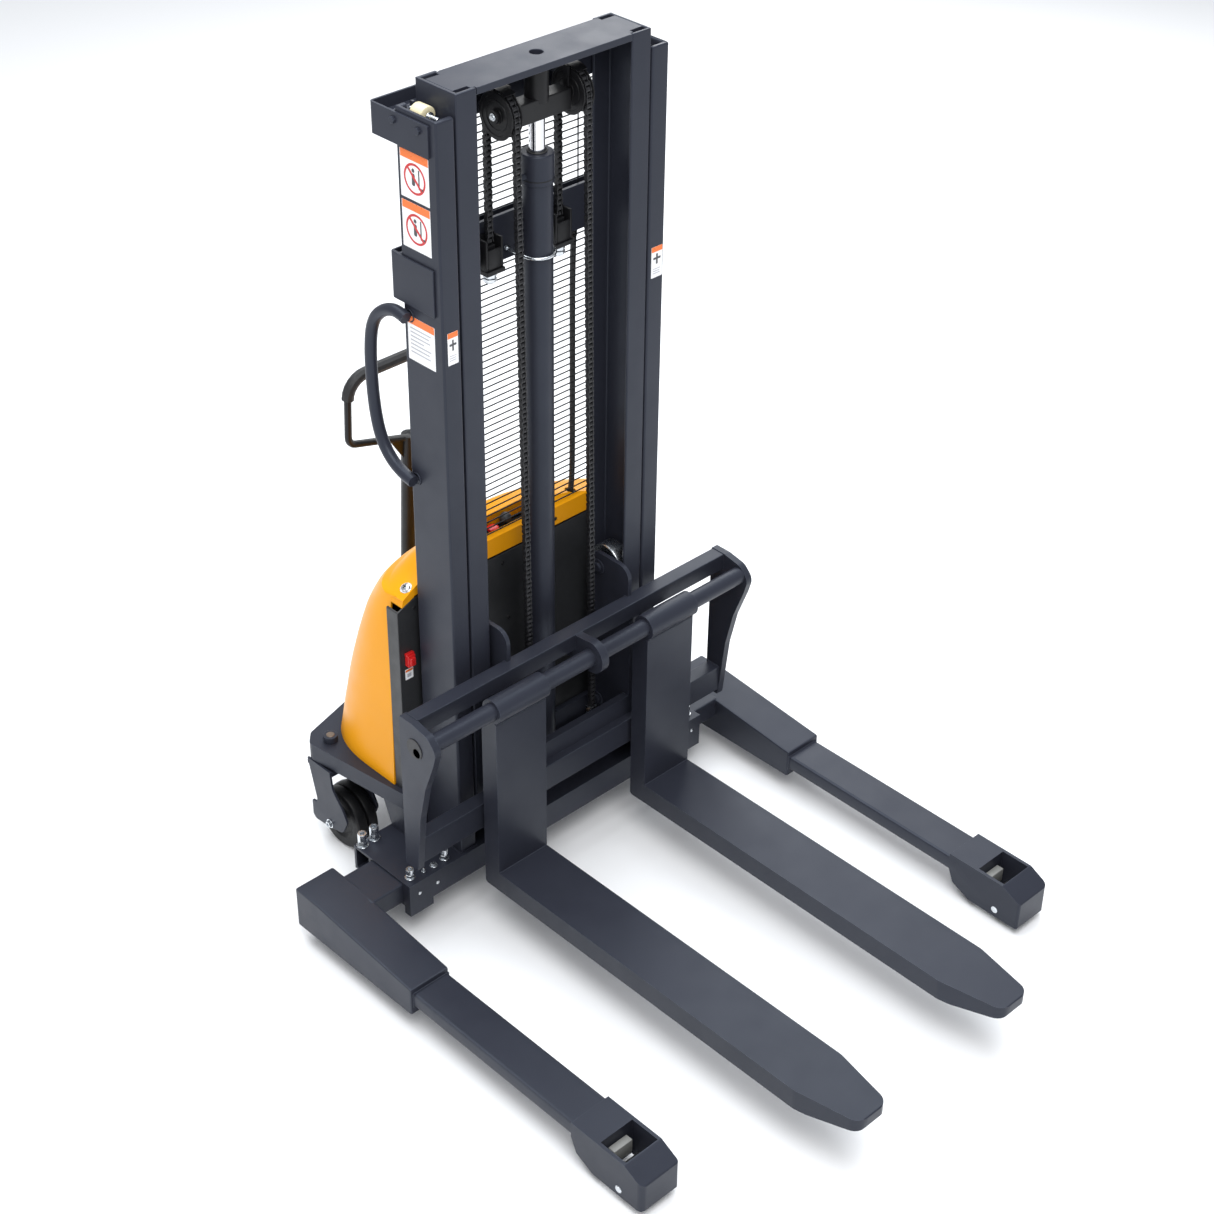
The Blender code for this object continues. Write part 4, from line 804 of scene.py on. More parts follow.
def load_bearing_profile(_):
    return [(0.0104, 0.9695), (0.0148, 0.9705), (0.0148, 0.9), (0.0104, 0.9)]


# node before the side's word, its profile, axis, material, slot, steps round, name if it is an extra piece
TURNED = (
    ("sheave_", sheave_profile, RIGHT, black_paint, "chain_steel", 64, None),
    ("thrust_roller_", thrust_roller_profile, BACK, cream_nylon, None, 40, None),
    ("carriage_roller_lower_", carriage_roller_profile, RIGHT, zinc, None, 56, None),
    ("carriage_roller_upper_", carriage_roller_profile, RIGHT, zinc, None, 56, None),
    ("load_wheel_", load_wheel_profile, RIGHT, load_nylon, None, 56, None),
    ("load_wheel_", load_bearing_profile, RIGHT, zinc, None, 40, "load_bearing_"),
    ("rear_wheel_", rear_wheel_profile, RIGHT, tyre, None, 72, None),
)


def wheels():
    for word, _ in SIDES:
        for kind, profile, axis, material, slot, steps, extra in TURNED:
            roller(kind + word, profile, axis, material, steps, extra and extra + word)


MUSHROOM = (
    (0, 0), (0.0100, 0), (0.0100, 0.0185), (0.0110, 0.0190), (0.0146, 0.0212), (0.0150, 0.0225),
    (0.0150, 0.0255), (0.0144, 0.0275), (0.0120, 0.0293), (0.0080, 0.0304), (0.0040, 0.0309), (0, 0.0310),
)
KNOB = (
    (0, 0), (0.0035, 0), (0.0035, 0.0215), (0.0060, 0.0240), (0.0105, 0.0262), (0.0140, 0.0290),
    (0.0155, 0.0325), (0.0154, 0.0365), (0.0142, 0.0405), (0.0120, 0.0440), (0.0090, 0.0470),
    (0.0050, 0.0493), (0, 0.0500),
)


def controls():
    """The stop button's mushroom, the lever's knob and the collars they stand in."""
    stop, knob = middle("stop_button"), middle("lift_lever")
    foot = at(stop.x, stop.y, low("stop_button").z)
    turned("stop_mushroom", MUSHROOM, foot, red_plastic, "stop_button", 40, stands_for=("stop_button",))
    foot = at(knob.x, knob.y, low("lift_lever").z)
    turned("lever_knob", KNOB, foot, black_plastic, "lift_lever", 40, stands_for=("lift_lever",))
    bm = bmesh.new()
    tray = high("control_tray").z + 0.0001
    for place, radius in ((stop, 0.0165), (knob, 0.0150)):
        bore = radius * 0.72
        lathe(bm, [(bore, 0), (radius, 0), (radius, 0.0012), (radius * 0.94, 0.0020),
                   (radius * 0.76, 0.0020), (bore, 0.0012), (bore, 0)],
              at(place.x, place.y, tray), UP, 36)
    piece("control_collars", bm, black_plastic, "base", angle=35)


grab_handle()
hose()
guard()
wheels()
controls()


# Hood: the same sections as the CAD loft, run through a soft curve

# height, half width, shoulder y, rear y, squareness
HOOD_SECTIONS = (
    (0.3075, 0.384, 0.255, 0.545, 3.0), (0.450, 0.380, 0.250, 0.519, 2.7),
    (0.600, 0.378, 0.238, 0.468, 2.6), (0.750, 0.373, 0.213, 0.398, 2.6),
    (0.830, 0.366, 0.196, 0.349, 2.5), (0.862, 0.362, 0.190, 0.322, 2.3),
    (0.868, 0.362, 0.160, 0.316, 2.2), (0.895, 0.315, 0.155, 0.297, 2.2),
    (0.918, 0.235, 0.155, 0.278, 2.2), (0.934, 0.160, 0.168, 0.262, 2.1),
    (0.944, 0.070, 0.185, 0.245, 2.0),
)
HOOD_FRONT = 0.1413
HOOD_PANEL_FRONT = 0.183
HOOD_LIP = 0.865
HOOD_WALL = 0.005
HOOD_TOP_FRONT = ((0.918, 0.1413), (0.934, 0.158), (0.944, 0.180))
HOOD_CORNER_OUT = (0.3795, 0.8415)
HOOD_CORNER_IN = (0.3285, 0.8615)
HOOD_SLICES = 7
HOOD_ROUND_STEPS = 96
GUSSET_OUT = 0.3640
GUSSET_TOP = 0.8670
GUSSET_Y = 0.1900
GUSSET_DEPTH = 0.0475
TRAY_GAP = 0.0004
HOSE_HOLE_Y = 0.1655
HOSE_HOLE_RADIUS = 0.0140
GROMMET = (
    (0.0080, 0), (0.0152, 0), (0.0158, 0.0010), (0.0152, 0.0022), (0.0100, 0.0030), (0.0080, 0.0022),
    (0.0080, 0),
)


def hood_slices():
    """The sections with soft ones between them, below the lip and above it."""
    out = []
    for rows in (HOOD_SECTIONS[:6], HOOD_SECTIONS[6:]):
        sizes = [Vector(row[:4]) for row in rows]
        squares = [row[4] for row in rows]
        for place, i, t in soft_curve(sizes, HOOD_SLICES):
            out.append((*place, squares[i] * (1 - t) + squares[i + 1] * t))
        out.append((*sizes[-1], squares[-1]))
    return out


def hood_front(z):
    """The y of the hood's front at a height: panel, lip, then the sloping top."""
    if z < HOOD_LIP:
        return HOOD_PANEL_FRONT
    if z <= HOOD_TOP_FRONT[0][0]:
        return HOOD_FRONT
    for (z0, y0), (z1, y1) in zip(HOOD_TOP_FRONT, HOOD_TOP_FRONT[1:]):
        if z <= z1 + 1e-6:
            return y0 + (y1 - y0) * (z - z0) / (z1 - z0)
    return HOOD_TOP_FRONT[-1][1]


def hood_loft(bm, slices, inset, front_at, drop=0.0):
    """A solid through the slices: a straight front and a squarish round back."""
    rings = []
    for z, half, shoulder, rear, square in slices:
        half, rear = half - inset, rear - inset
        ring = [bm.verts.new(at(x, front_at(z), z - drop)) for x in (-half, half)]
        power = 2.0 / square
        for i in range(HOOD_ROUND_STEPS + 1):
            a = pi * i / HOOD_ROUND_STEPS
            x = half * (1 if cos(a) >= 0 else -1) * abs(cos(a)) ** power
            y = shoulder + (rear - shoulder) * abs(sin(a)) ** power
            ring.append(bm.verts.new(at(x, max(y, front_at(z) + 0.0002), z - drop)))
        rings.append(ring)
    count = len(rings[0])
    for lower, upper in zip(rings, rings[1:]):
        for i in range(count):
            j = (i + 1) % count
            bm.faces.new((lower[i], lower[j], upper[j], upper[i]))
    bm.faces.new(list(reversed(rings[0])))
    bm.faces.new(rings[-1])


def scratch(bm):
    """An object for boolean work only."""
    bmesh.ops.recalc_face_normals(bm, faces=bm.faces)
    mesh = bpy.data.meshes.new("scratch")
    bm.to_mesh(mesh)
    bm.free()
    obj = bpy.data.objects.new("scratch", mesh)
    bpy.context.scene.collection.objects.link(obj)
    return obj


def combined(target, operations):
    """Applies booleans and returns the result as a bmesh; the scratch objects go."""
    for operation, tool in operations:
        modifier = target.modifiers.new(operation, "BOOLEAN")
        modifier.operation = operation
        modifier.solver = "EXACT"
        modifier.object = tool
    bpy.context.view_layer.update()
    done = target.evaluated_get(bpy.context.evaluated_depsgraph_get())
    bm = bmesh.new()
    bm.from_mesh(done.to_mesh())
    done.to_mesh_clear()
    for obj in [tool for _, tool in operations] + [target]:
        bpy.data.objects.remove(obj)
    return bm


def hood_gussets():
    """Solid corners under the lip, where it slopes down beside the panel."""
    (out_x, out_z), (in_x, in_z) = HOOD_CORNER_OUT, HOOD_CORNER_IN
    slope = (in_z - out_z) / (out_x - in_x)
    foot = in_z - slope * (GUSSET_OUT - in_x) + 0.0008
    near = in_x - 0.002
    work = []
    for _, side in SIDES:
        bm = bmesh.new()
        outline = [(side * GUSSET_OUT, foot), (side * (GUSSET_OUT - 0.004), GUSSET_TOP),
                   (side * near, GUSSET_TOP), (side * near, in_z + 0.0024)]
        slab(bm, outline, at(0, GUSSET_Y, 0), RIGHT, UP, GUSSET_DEPTH)
        work.append(("UNION", scratch(bm)))
    return work


def hood_hollow(slices):
    """The space inside, below the lip and above it."""
    lower = [row for row in slices if row[0] < HOOD_LIP - 0.012]
    lower[0] = (lower[0][0] - 0.02, *lower[0][1:])
    lower.append((HOOD_LIP - 0.008, *HOOD_SECTIONS[5][1:]))
    bm = bmesh.new()
    hood_loft(bm, lower, HOOD_WALL, lambda z: HOOD_PANEL_FRONT - 0.03)
    work = [("DIFFERENCE", scratch(bm))]
    upper = [(z, half, max(shoulder, 0.160), rear, square)
             for z, half, shoulder, rear, square in slices if 0.8615 < z < 0.919]
    bm = bmesh.new()
    hood_loft(bm, upper, HOOD_WALL, lambda z: HOOD_FRONT + HOOD_WALL, HOOD_WALL + 0.004)
    return work + [("DIFFERENCE", scratch(bm))]


def hood_tray_seat():
    """A floor under the control tray and the opening above it."""
    tray_low, tray_high = low("control_tray"), high("control_tray")
    floor_z = tray_low.z - TRAY_GAP
    rim = 0.006
    bm = bmesh.new()
    block(bm, (tray_low.x - rim, tray_high.x + rim), (tray_low.y - rim, tray_high.y + rim),
          (floor_z - rim, floor_z), 0)
    work = [("UNION", scratch(bm))]
    width = tray_high.x - tray_low.x + 2 * TRAY_GAP
    depth = tray_high.y - tray_low.y + 2 * TRAY_GAP
    centre = at((tray_low.x + tray_high.x) / 2, (tray_low.y + tray_high.y) / 2, floor_z)
    bm = bmesh.new()
    slab(bm, rounded(width, depth, 0.0008, 3), centre, RIGHT, BACK, 0.12)
    return work + [("DIFFERENCE", scratch(bm))]


def hood_hose_hole():
    bm = bmesh.new()
    reach = 0.06
    lathe(bm, [(0, -reach), (HOSE_HOLE_RADIUS, -reach), (HOSE_HOLE_RADIUS, reach), (0, reach)],
          at(HOSE_X, HOSE_HOLE_Y, 0.90), UP, 40)
    return [("DIFFERENCE", scratch(bm))]


def hood():
    slices = hood_slices()
    bm = bmesh.new()
    hood_loft(bm, slices, 0.0, hood_front)
    shell = scratch(bm)
    bm = combined(shell, hood_gussets() + hood_hollow(slices) + hood_tray_seat() + hood_hose_hole())
    bmesh.ops.remove_doubles(bm, verts=bm.verts, dist=1e-5)
    cover = piece("hood_cover", bm, amber, "base", angle=32, stands_for=("hood",))
    eased(cover, 0.0012, 2, 40)
    turned("hose_grommet", GROMMET, at(HOSE_X, HOSE_HOLE_Y, 0.9185), rubber, "base", 40)


hood()


# Fasteners, fittings and small welded parts

def hardware(name, body, material, items):
    """Several fasteners as one piece: each item is (maker, place, axis, sizes...)."""
    bm = bmesh.new()
    for make, place, axis, *sizes in items:
        make(bm, at(*place), Vector(axis), *sizes)
    piece(name, bm, material, body, 30)


def collar_stack(bm, origin, axis, radius, height):
    """Washer, nut and the cap screw that holds them."""
    washer(bm, origin, axis, radius * 1.30, 0.0022)
    hex_head(bm, origin + axis * 0.0022, axis, radius * 1.08, height * 0.45)
    socket_head(bm, origin + axis * (0.0022 + height * 0.46), axis, radius, height * 0.60)


def post(bm, origin, axis, radius, height):
    """A plain round pin with an eased end."""
    ease = radius * 0.15
    lathe(bm, [(0, 0), (radius, 0), (radius, height - ease), (radius - ease, height), (0, height)],
          origin, axis, 28)


FORWARD = -BACK
# x, y, radius and height of the cap screws on top of the base beam
BEAM_SCREWS = (
    (0.487, 0.190, 0.0118, 0.034), (0.449, 0.191, 0.0118, 0.034), (0.478, 0.018, 0.0100, 0.024),
    (0.371, 0.015, 0.0095, 0.026), (0.345, 0.108, 0.0100, 0.018),
)
BEAM_SMALL_SCREW = (0.440, 0.012)
BEAM_HEX_SCREW = (0.408, 0.012)
BEAM_FRONT_X = (0.472, 0.415)
BEAM_FRONT_Z = 0.132


def base_fasteners():
    top, front = high("base_beam").z, low("base_beam").y
    items, screws = [], []
    for _, side in SIDES:
        for x, y, radius, height in BEAM_SCREWS:
            items.append((collar_stack, (side * x, y, top), UP, radius, height))
        x, y = BEAM_SMALL_SCREW
        items.append((washer, (side * x, y, top), UP, 0.0060, 0.0030))
        items.append((socket_head, (side * x, y, top + 0.0030), UP, 0.0042, 0.005))
        x, y = BEAM_HEX_SCREW
        items.append((washer, (side * x, y, top), UP, 0.0100, 0.0022))
        items.append((hex_head, (side * x, y, top + 0.0022), UP, 0.0078, 0.0055))
        for x in BEAM_FRONT_X:
            screws.append((pan_head, (side * x, front, BEAM_FRONT_Z), FORWARD, 0.0050, 0.0026))
    hardware("base_fasteners", "base", zinc, items)
    hardware("base_front_screws", "base", zinc, screws)


SIDE_BOLT_Y = (0.128, 0.049)
SIDE_BOLT_Z = 2.0515
THRUST_PIN_X = 0.2975
THRUST_PIN_Z = 2.069
THRUST_PIN_RADIUS = 0.0061


def mast_fasteners():
    """The top band's side bolts and the pins that carry the thrust rollers."""
    face = abs(low("top_crossmember").x)
    bolts, pins = [], []
    for _, side in SIDES:
        for y in SIDE_BOLT_Y:
            bolts.append((hex_head, (side * face, y, SIDE_BOLT_Z), (side, 0, 0), 0.0085, 0.0055))
        x = side * THRUST_PIN_X
        pins.append((washer, (x, 0.0560, THRUST_PIN_Z), FORWARD, 0.0105, 0.0018))
        pins.append((post, (x, 0.0600, THRUST_PIN_Z), FORWARD, THRUST_PIN_RADIUS, 0.0325))
        pins.append((post, (x, 0.0975, THRUST_PIN_Z), BACK, THRUST_PIN_RADIUS, 0.0170))
    hardware("mast_side_bolts", "base", slate, bolts)
    hardware("thrust_pins", "base", zinc, pins)


STRAP_Z = 1.670
STRAP_REAR = 0.1275
STRAP_RADIUS = 0.0038
BLEED_Y = 0.0634
BLEED_Z = 1.857
WIPER = ((0.0182, 0), (0.0225, 0), (0.0225, 0.0022), (0.0212, 0.0034), (0.0186, 0.0034), (0.0182, 0))


def gland_parts():
    """Groove round the gland, drawn as a black band that is painted shade; wiper seal at its top and the
    bleed fitting.
    """
    gland_low, gland_high = low("cylinder_gland"), high("cylinder_gland")
    centre = middle("cylinder_gland")
    radius = (gland_high.x - gland_low.x) / 2
    inner, outer = radius - 0.004, radius + 0.0003
    groove = [(inner, 0), (outer, 0), (outer, 0.0022), (inner, 0.0022), (inner, 0)]
    # a thin black ring just proud of the gland stands for its groove: painted shade
    turned("gland_groove_shade", groove, at(centre.x, centre.y, gland_low.z + 0.0095), black_paint, "base", 64)
    turned("wiper_seal", WIPER, at(centre.x, centre.y, gland_high.z), rubber, "base", 48)
    left = (-1, 0, 0)
    hardware("bleed_fitting", "base", slate_cast, [
        (post, (-radius + 0.002, BLEED_Y, BLEED_Z), left, 0.0070, 0.0200),
        (hex_head, (-radius - 0.010, BLEED_Y, BLEED_Z), left, 0.0085, 0.0080),
        (post, (-radius - 0.014, BLEED_Y, BLEED_Z - 0.007), UP, 0.0045, 0.0190),
    ])


def barrel_strap():
    """A bent rod round the barrel with a nut on each end."""
    barrel = middle("lift_cylinder")
    reach = (high("lift_cylinder").x - low("lift_cylinder").x) / 2 + 0.0040
    path = [(reach, STRAP_REAR), (reach, barrel.y)]
    path += [(reach * cos(radians(a)), barrel.y - reach * sin(radians(a))) for a in range(10, 180, 10)]
    path += [(-reach, barrel.y), (-reach, STRAP_REAR)]
    bm = bmesh.new()
    sweep(bm, [at(x, y, STRAP_Z) for x, y in path], STRAP_RADIUS, 14)
    piece("barrel_strap", bm, zinc, "base")
    hardware("barrel_strap_nuts", "base", zinc, [
        (hex_head, (side * reach, STRAP_REAR - 0.0090, STRAP_Z), BACK, 0.0072, 0.0070) for _, side in SIDES
    ])


SHEAVE_X = 0.102
# the faces of the crosshead's two plates beside each sheave, with the way each one looks
SHEAVE_FACES = ((0.1246, 1), (0.0720, -1))
CHAIN_GUARD_RADII = (0.0590, 0.0560)
CHAIN_GUARD_ANGLES = (60, 67.5, 75, 82.5, 90, 97.5, 105, 112.5, 120)
CHAIN_GUARD_WIDTH = 0.0300


def crosshead_parts():
    """Screws in the sheave pins and the short guards over the chains."""
    centre = middle("sheave_left")
    y, z = centre.y, centre.z
    items = []
    for _, side in SIDES:
        for face, turn in SHEAVE_FACES:
            axis = (turn * side, 0, 0)
            items.append((washer, (side * face, y, z), axis, 0.0085, 0.0014))
            items.append((hex_head, (side * (face + turn * 0.0014), y, z), axis, 0.0058, 0.0040))
    hardware("sheave_pin_screws", "inner_mast", zinc, items)
    outer, inner = CHAIN_GUARD_RADII
    outline = [(y + outer * cos(radians(a)), z + outer * sin(radians(a))) for a in CHAIN_GUARD_ANGLES]
    outline += [(y + inner * cos(radians(a)), z + inner * sin(radians(a)))
                for a in reversed(CHAIN_GUARD_ANGLES)]
    for word, side in SIDES:
        bm = bmesh.new()
        slab(bm, outline, at(side * SHEAVE_X - CHAIN_GUARD_WIDTH / 2, 0, 0), BACK, UP, CHAIN_GUARD_WIDTH)
        block(bm, span(side, 0.0800, 0.0865), (y - 0.008, y + 0.008), (z + 0.012, z + 0.0580), 0.001)
        piece("chain_guard_" + word, bm, black_paint, "inner_mast", angle=35)


ANCHOR_Y = 0.1078
ANCHOR_BACK = 0.0900
ANCHOR_FRONT = 0.1188
ANCHOR_DEPTH = 0.064
CHANNEL_HALF = 0.0250
CHANNEL_WALL = 0.0060
CLEVIS_PIN_Z = 0.402


def anchor_parts():
    """The channel each chain end sits in, the nuts on its stud and the clevis pins."""
    down = -UP
    for word, side in SIDES:
        top = low("chain_anchor_run_" + word).z - 0.0003
        x, y = side * SHEAVE_X, ANCHOR_Y
        shelf = top - ANCHOR_DEPTH
        hardware("anchor_nuts_" + word, "base", zinc, [
            (washer, (x, y, shelf), down, 0.0170, 0.0022),
            (hex_head, (x, y, shelf - 0.0022), down, 0.0155, 0.0125),
            (hex_head, (x, y, shelf - 0.0160), down, 0.0155, 0.0090),
        ])
        bm = bmesh.new()
        inside = CHANNEL_HALF - CHANNEL_WALL
        for wall in ((x - CHANNEL_HALF, x - inside), (x + inside, x + CHANNEL_HALF)):
            block(bm, wall, (ANCHOR_BACK, ANCHOR_FRONT), (shelf, top + 0.0180), 0.0012)
        web = inside - 0.0002
        block(bm, (x - web, x + web), (ANCHOR_BACK, ANCHOR_BACK + 0.0050), (shelf, top - 0.0060), 0.0010)
        piece("anchor_channel_" + word, bm, black_paint, "base")
        clevis_y = middle("chain_clevis_" + word).y
        hardware("clevis_pin_" + word, "carriage", worn_brass, [
            (post, (x - 0.0125, clevis_y, CLEVIS_PIN_Z), RIGHT, 0.0030, 0.0250),
            (post, (x - 0.0150, clevis_y, CLEVIS_PIN_Z), RIGHT, 0.0048, 0.0025),
        ])


KING_PIN = (0.389, 0.430)
REAR_AXLE = (0.392, 0.084)
STEER_OUTER_X = 0.437
STEER_INNER_X = 0.333


def steer_parts():
    """The king pin's end in each steered wheel's crown, and the wheel's axle bolt."""
    for word, side in SIDES:
        node = "steer_fork_" + word
        body = frame["nodes"][node]["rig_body"]
        x, y = side * KING_PIN[0], KING_PIN[1]
        hardware("king_pin_top_" + word, body, worn_brass, [
            (post, (x, y, high(node).z - 0.001), UP, 0.0115, 0.0022),
        ])
        outward, inward = (side, 0, 0), (-side, 0, 0)
        outer, inner = side * STEER_OUTER_X, side * STEER_INNER_X
        hardware("steer_bolts_" + word, body, zinc, [
            (washer, (outer, *REAR_AXLE), outward, 0.0130, 0.0020),
            (socket_head, (outer + side * 0.002, *REAR_AXLE), outward, 0.0088, 0.0070),
            (washer, (inner, *REAR_AXLE), inward, 0.0140, 0.0020),
            (hex_head, (inner - side * 0.002, *REAR_AXLE), inward, 0.0120, 0.0080),
        ])


ROLLER_PIN_X = 0.193
ROLLER_PIN_Y = 0.0635
ROLLER_PIN_Z = (0.752, 0.345)
END_PLATE_X = 0.5205
SHAFT_END = (-0.0800, 0.646)
KEEPER_HOLE = (-0.0880, 0.638)


def carriage_parts():
    """Pin heads on the side plates, keeper discs on the end plates."""
    items = []
    for _, side in SIDES:
        inward = (-side, 0, 0)
        for z in ROLLER_PIN_Z:
            items.append((washer, (side * ROLLER_PIN_X, ROLLER_PIN_Y, z), inward, 0.0200, 0.0025))
            place = (side * (ROLLER_PIN_X - 0.0025), ROLLER_PIN_Y, z)
            items.append((hex_head, place, inward, 0.0120, 0.0060))
    hardware("roller_pin_heads", "carriage", slate, items)
    for word, side in SIDES:
        outward = (side, 0, 0)
        face = side * END_PLATE_X
        raised = face + side * 0.0010
        hardware("keeper_disc_" + word, "carriage", dark_cast, [
            (washer, (face, *SHAFT_END), outward, 0.0270, 0.0010),
            (washer, (raised, *SHAFT_END), outward, 0.0262, 0.0010, 0.0225),
        ])
        # the flat black disc inside a black ring on each end plate is painted shade standing for the
        # keeper hole's depth
        hardware("keeper_hole_shade_" + word, "carriage", black_paint, [
            (washer, (raised, *KEEPER_HOLE), outward, 0.0125, 0.0010, 0.0095),
            (post, (face + side * 0.0004, *KEEPER_HOLE), outward, 0.0096, 0.0008),
        ])


WHEEL_BLOCK_X = (0.6200, 0.6760)
WHEEL_BLOCK_Y = (-0.9080, -0.8870)
WHEEL_BLOCK_Z = (0.058, 0.098)
LEG_OUTER_X = 0.7048
LOAD_AXLE = (-0.9506, 0.039)


def leg_parts():
    """The pale block behind each load wheel and the end of its axle."""
    for word, side in SIDES:
        body = "leg_" + word
        bm = bmesh.new()
        block(bm, span(side, *WHEEL_BLOCK_X), WHEEL_BLOCK_Y, WHEEL_BLOCK_Z, 0.003)
        piece("wheel_block_" + word, bm, pale_nylon, body)
        hardware("axle_end_" + word, body, zinc, [
            (post, (side * LEG_OUTER_X, *LOAD_AXLE), (side, 0, 0), 0.0095, 0.0010),
        ])


PANEL_SCREWS = (
    (-0.053, 0.835), (-0.037, 0.669), (0.053, 0.835), (0.037, 0.669),
    (-0.33, 0.835), (0.33, 0.835), (-0.33, 0.340), (0.33, 0.340),
)
LIP_SCREW_X = (-0.290, -0.120, 0.120, 0.290)
LIP_SCREW_Z = 0.886
HOOD_BOLT = (0.335, 0.160, 0.8835)
HOOD_BOLT_TILT = (0.45, 0.0, 0.89)
CONNECTOR_RIBS = 4
CONNECTOR_RIB_PITCH = 0.0045


def panel_parts():
    """Small black screws in the panel and in the hood's lip."""
    face, lip = low("front_panel").y, low("hood").y
    hardware("panel_screws", "base", black_paint,
             [(pan_head, (x, face, z), FORWARD, 0.0055, 0.0024) for x, z in PANEL_SCREWS])
    hardware("hood_screws", "base", black_paint,
             [(pan_head, (x, lip, LIP_SCREW_Z), FORWARD, 0.0050, 0.0022) for x in LIP_SCREW_X])


def hood_bolts():
    x, y, z = HOOD_BOLT
    for word, side in SIDES:
        place = at(side * x, y, z)
        axis = Vector((side * HOOD_BOLT_TILT[0], *HOOD_BOLT_TILT[1:])).normalized()
        bm = bmesh.new()
        washer(bm, place, axis, 0.0150, 0.0020)
        pan_head(bm, place + axis * 0.002, axis, 0.0115, 0.0065)
        piece("hood_bolt_" + word, bm, zinc, "base", angle=30)
        # a black cross on each bolt head is painted shade for its cross recess
        bm = bmesh.new()
        recess_shade_cross(bm, place + axis * 0.002, axis, 0.0100, 0.0063)
        piece("hood_bolt_slot_" + word, bm, black_paint, "base")


def connector_ribs():
    corner, far = low("battery_connector"), high("battery_connector")
    bm = bmesh.new()
    for i in range(CONNECTOR_RIBS):
        z = corner.z + 0.008 + i * CONNECTOR_RIB_PITCH
        block(bm, (corner.x + 0.004, far.x - 0.004), (corner.y - 0.0012, corner.y + 0.002),
              (z, z + 0.0022), 0.0005)
    block(bm, (corner.x - 0.001, far.x + 0.001), (corner.y + 0.010, corner.y + 0.020),
          (far.z - 0.003, far.z + 0.004), 0.001)
    piece("connector_ribs", bm, red_plastic, "base")


FORK_X = (0.1700, 0.3233)
FORK_HEEL_Y = -0.1376
FORK_TOP_Z = 0.1876
FORK_EYE_Z = 0.6440
LEG_TUBE_X = (0.5915, 0.6974)
LEG_STEP_Y = -0.2555
LEG_TOP_Z = 0.1180
LEG_LOW_Z = 0.0766
LEG_NOSE_Y = -0.7990
CROSSBAR_Y = -0.0303
CROSSBAR_Z = (0.6690, 0.7120)
SIDE_PLATE_X = (0.1930, 0.2040)
ARM_X = 0.5020
ARM_FRONT_Y = -0.0707


def welds():
    """Beads on the forks, legs, carriage and mast feet."""
    step, top, under = LEG_STEP_Y, LEG_TOP_Z, LEG_LOW_Z
    for word, side in SIDES:
        inner, outer = (side * x for x in FORK_X)
        heel, eye = FORK_HEEL_Y, FORK_HEEL_Y + 0.0005
        weld("fork_welds_" + word, "fork_" + word,
             ([(inner, heel, FORK_TOP_Z), (outer, heel, FORK_TOP_Z)], 0.0026),
             ([(inner, eye, FORK_EYE_Z), (outer, eye, FORK_EYE_Z)], 0.0022))
        inner, outer = (side * x for x in LEG_TUBE_X)
        weld("leg_welds_" + word, "leg_" + word,
             ([(inner, step, top), (outer, step, top)], 0.0026),
             ([(outer, step, top), (outer, step, under)], 0.0022),
             ([(inner, step, top), (inner, step, under)], 0.0022),
             ([(side * 0.5930, LEG_NOSE_Y, top), (side * 0.6970, LEG_NOSE_Y, top)], 0.0024))
        uprights = [([(side * x, CROSSBAR_Y, z) for z in CROSSBAR_Z], 0.0026) for x in SIDE_PLATE_X]
        ends = [([(side * ARM_X, y, z) for y in (ARM_FRONT_Y, CROSSBAR_Y)], radius)
                for z, radius in ((0.6680, 0.0024), (0.7130, 0.0018), (0.3600, 0.0024))]
        weld("carriage_welds_" + word, "carriage", *uprights, *ends)
    beam_top = high("base_beam").z
    feet = []
    for _, side in SIDES:
        feet.append(([(side * x, -0.0005, beam_top) for x in (0.2805, 0.3290)], 0.0026))
        feet.append(([(side * 0.3297, y, beam_top) for y in (0.002, 0.126)], 0.0026))
    weld("mast_foot_welds", "base", *feet)


# Textless labels

STICKER_T = 0.0003
INK_T = 0.00006
INK_STEP = 0.00004


def label(name, origin, across, up, size, parts):
    """A white sticker with shapes on it: parts are (material, x, y, width, height, radius, tilt)."""
    centre = at(*origin)
    out = across.cross(up)
    bm = bmesh.new()
    slab(bm, rounded(*size, 0.0015, 3), centre, across, up, STICKER_T)
    piece(name, bm, label_white, "base")
    groups = {}
    for level, (material, *shape) in enumerate(parts):
        groups.setdefault(material.name, (material, []))[1].append((level, *shape))
    for key, (material, shapes) in groups.items():
        bm = bmesh.new()
        for level, x, y, width, height, radius, *tilt in shapes:
            angle = radians(tilt[0]) if tilt else 0.0
            place = centre + across * x + up * y + out * STICKER_T
            u = across * cos(angle) + up * sin(angle)
            v = up * cos(angle) - across * sin(angle)
            slab(bm, rounded(width, height, radius, 8), place, u, v, INK_T + INK_STEP * level)
        piece(name + "_" + key.replace("label_", ""), bm, material, "base")


BAR_SHARES = (0.94, 0.86, 0.90, 0.62)


def bars(width, top, bottom, pitch):
    """Plain grey bars where a real sticker has lines of words."""
    rows = []
    y = top
    while y > bottom:
        share = BAR_SHARES[len(rows) % len(BAR_SHARES)]
        rows.append((label_grey, -width * (1 - share) / 2, y, width * share, pitch * 0.32, pitch * 0.08))
        y -= pitch
    return rows


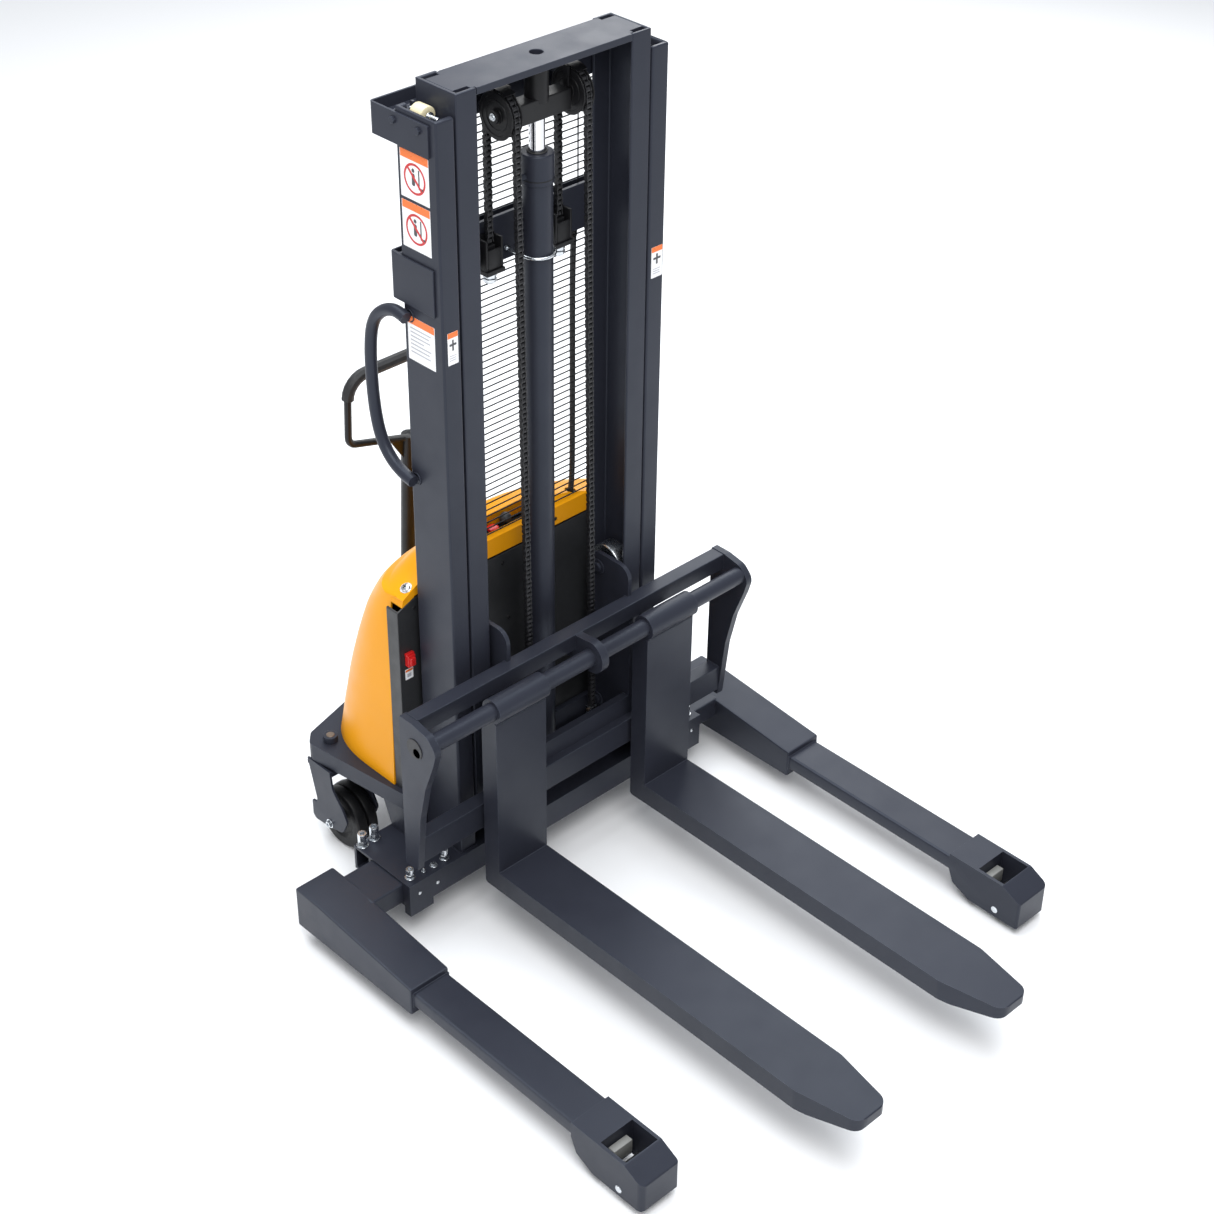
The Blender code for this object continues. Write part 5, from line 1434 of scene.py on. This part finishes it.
def ring_notice(width, height):
    """A ring with a slash over a few plain shapes."""
    ring = width * 0.76
    low_y = -0.04 * height
    return [
        (label_red, 0, low_y, ring, ring, ring / 2),
        (label_white, 0, low_y, ring * 0.84, ring * 0.84, ring * 0.42),
        (label_ink, -ring * 0.06, -0.06 * height, ring * 0.15, ring * 0.40, ring * 0.06),
        (label_ink, -ring * 0.06, 0.13 * height, ring * 0.13, ring * 0.13, ring * 0.06),
        (label_ink, ring * 0.20, -0.02 * height, ring * 0.06, ring * 0.62, ring * 0.01),
        (label_ink, ring * 0.28, -0.20 * height, ring * 0.22, ring * 0.07, ring * 0.02),
        (label_red, 0, low_y, ring * 0.94, ring * 0.09, ring * 0.01, -45),
    ]


def bar_notice(width, height):
    return bars(width * 0.80, height * 0.24, -height * 0.36, height * 0.090)


def cross_notice(width, height):
    return [
        (label_ink, 0, height * 0.10, width * 0.16, height * 0.34, width * 0.05),
        (label_ink, 0, height * 0.12, width * 0.66, height * 0.07, width * 0.03),
        *bars(width * 0.70, -height * 0.22, -height * 0.40, height * 0.07),
    ]


def sign(name, origin, across, size, notice):
    """A sticker with a coloured head over its notice."""
    width, height = size
    head = 0.17 * height
    parts = [(label_orange, 0, height / 2 - head / 2, width * 0.97, head, 0.001)]
    label(name, origin, across, UP, size, parts + notice(width, height))


LABEL_SIDE_X = -0.3296
LABEL_FRONT_Y = -0.0001


def labels():
    side, front = LABEL_SIDE_X, LABEL_FRONT_Y
    sign("label_high", (side, 0.0715, 1.942), FORWARD, (0.091, 0.106), ring_notice)
    sign("label_mid", (side, 0.0715, 1.829), FORWARD, (0.091, 0.106), ring_notice)
    sign("label_low", (side, 0.0710, 1.5605), FORWARD, (0.0895, 0.105), bar_notice)
    sign("label_front_left", (-0.3025, front, 1.5665), RIGHT, (0.029, 0.077), cross_notice)
    sign("label_front_right", (0.3065, front, 1.5665), RIGHT, (0.035, 0.077), cross_notice)
    label("label_panel", (-0.353, low("front_panel").y + front, 0.656), RIGHT, UP, (0.024, 0.030),
          [(label_orange, 0, 0.010, 0.022, 0.006, 0.001), (label_grey, 0, -0.004, 0.012, 0.010, 0.001)])


base_fasteners()
mast_fasteners()
gland_parts()
barrel_strap()
crosshead_parts()
anchor_parts()
steer_parts()
carriage_parts()
leg_parts()
panel_parts()
hood_bolts()
connector_ribs()
welds()
labels()


# The other CAD nodes keep their shape, with eased edges

PLAIN = {
    "outer_mast_left": 0, "outer_mast_right": 0, "inner_mast_left": 0, "inner_mast_right": 0,
    "inner_top_plate": 0.0014, "inner_bottom_tie": 0.001, "mid_crossmember": 0.0012,
    "top_crossmember": 0.0010, "base_beam": 0.0016, "chassis_frame": 0.0016,
    "lift_cylinder": 0.0010, "cylinder_gland": 0.0008, "crosshead": 0.0010, "piston_rod": 0.0004,
    "carriage_frame": 0.0014, "fork_shaft": 0.0010, "fork_left": 0.0052, "fork_right": 0.0052,
    "leg_left": 0.0032, "leg_right": 0.0032, "steer_fork_left": 0.0010, "steer_fork_right": 0.0010,
    "tiller_post": 0.0010, "tiller": 0, "tiller_grip": 0, "front_panel": 0.0014,
    "control_tray": 0.0006, "battery": 0.002, "power_pack": 0.001, "key_switch": 0.0002,
    "load_axle_left": 0.0008, "load_axle_right": 0.0008,
    "chain_anchor_left": 0.0006, "chain_anchor_right": 0.0006, "chain_clevis_left": 0.0006,
    "chain_clevis_right": 0.0006, "battery_connector": 0.0010,
}
for node, width in PLAIN.items():
    refine(node, width)
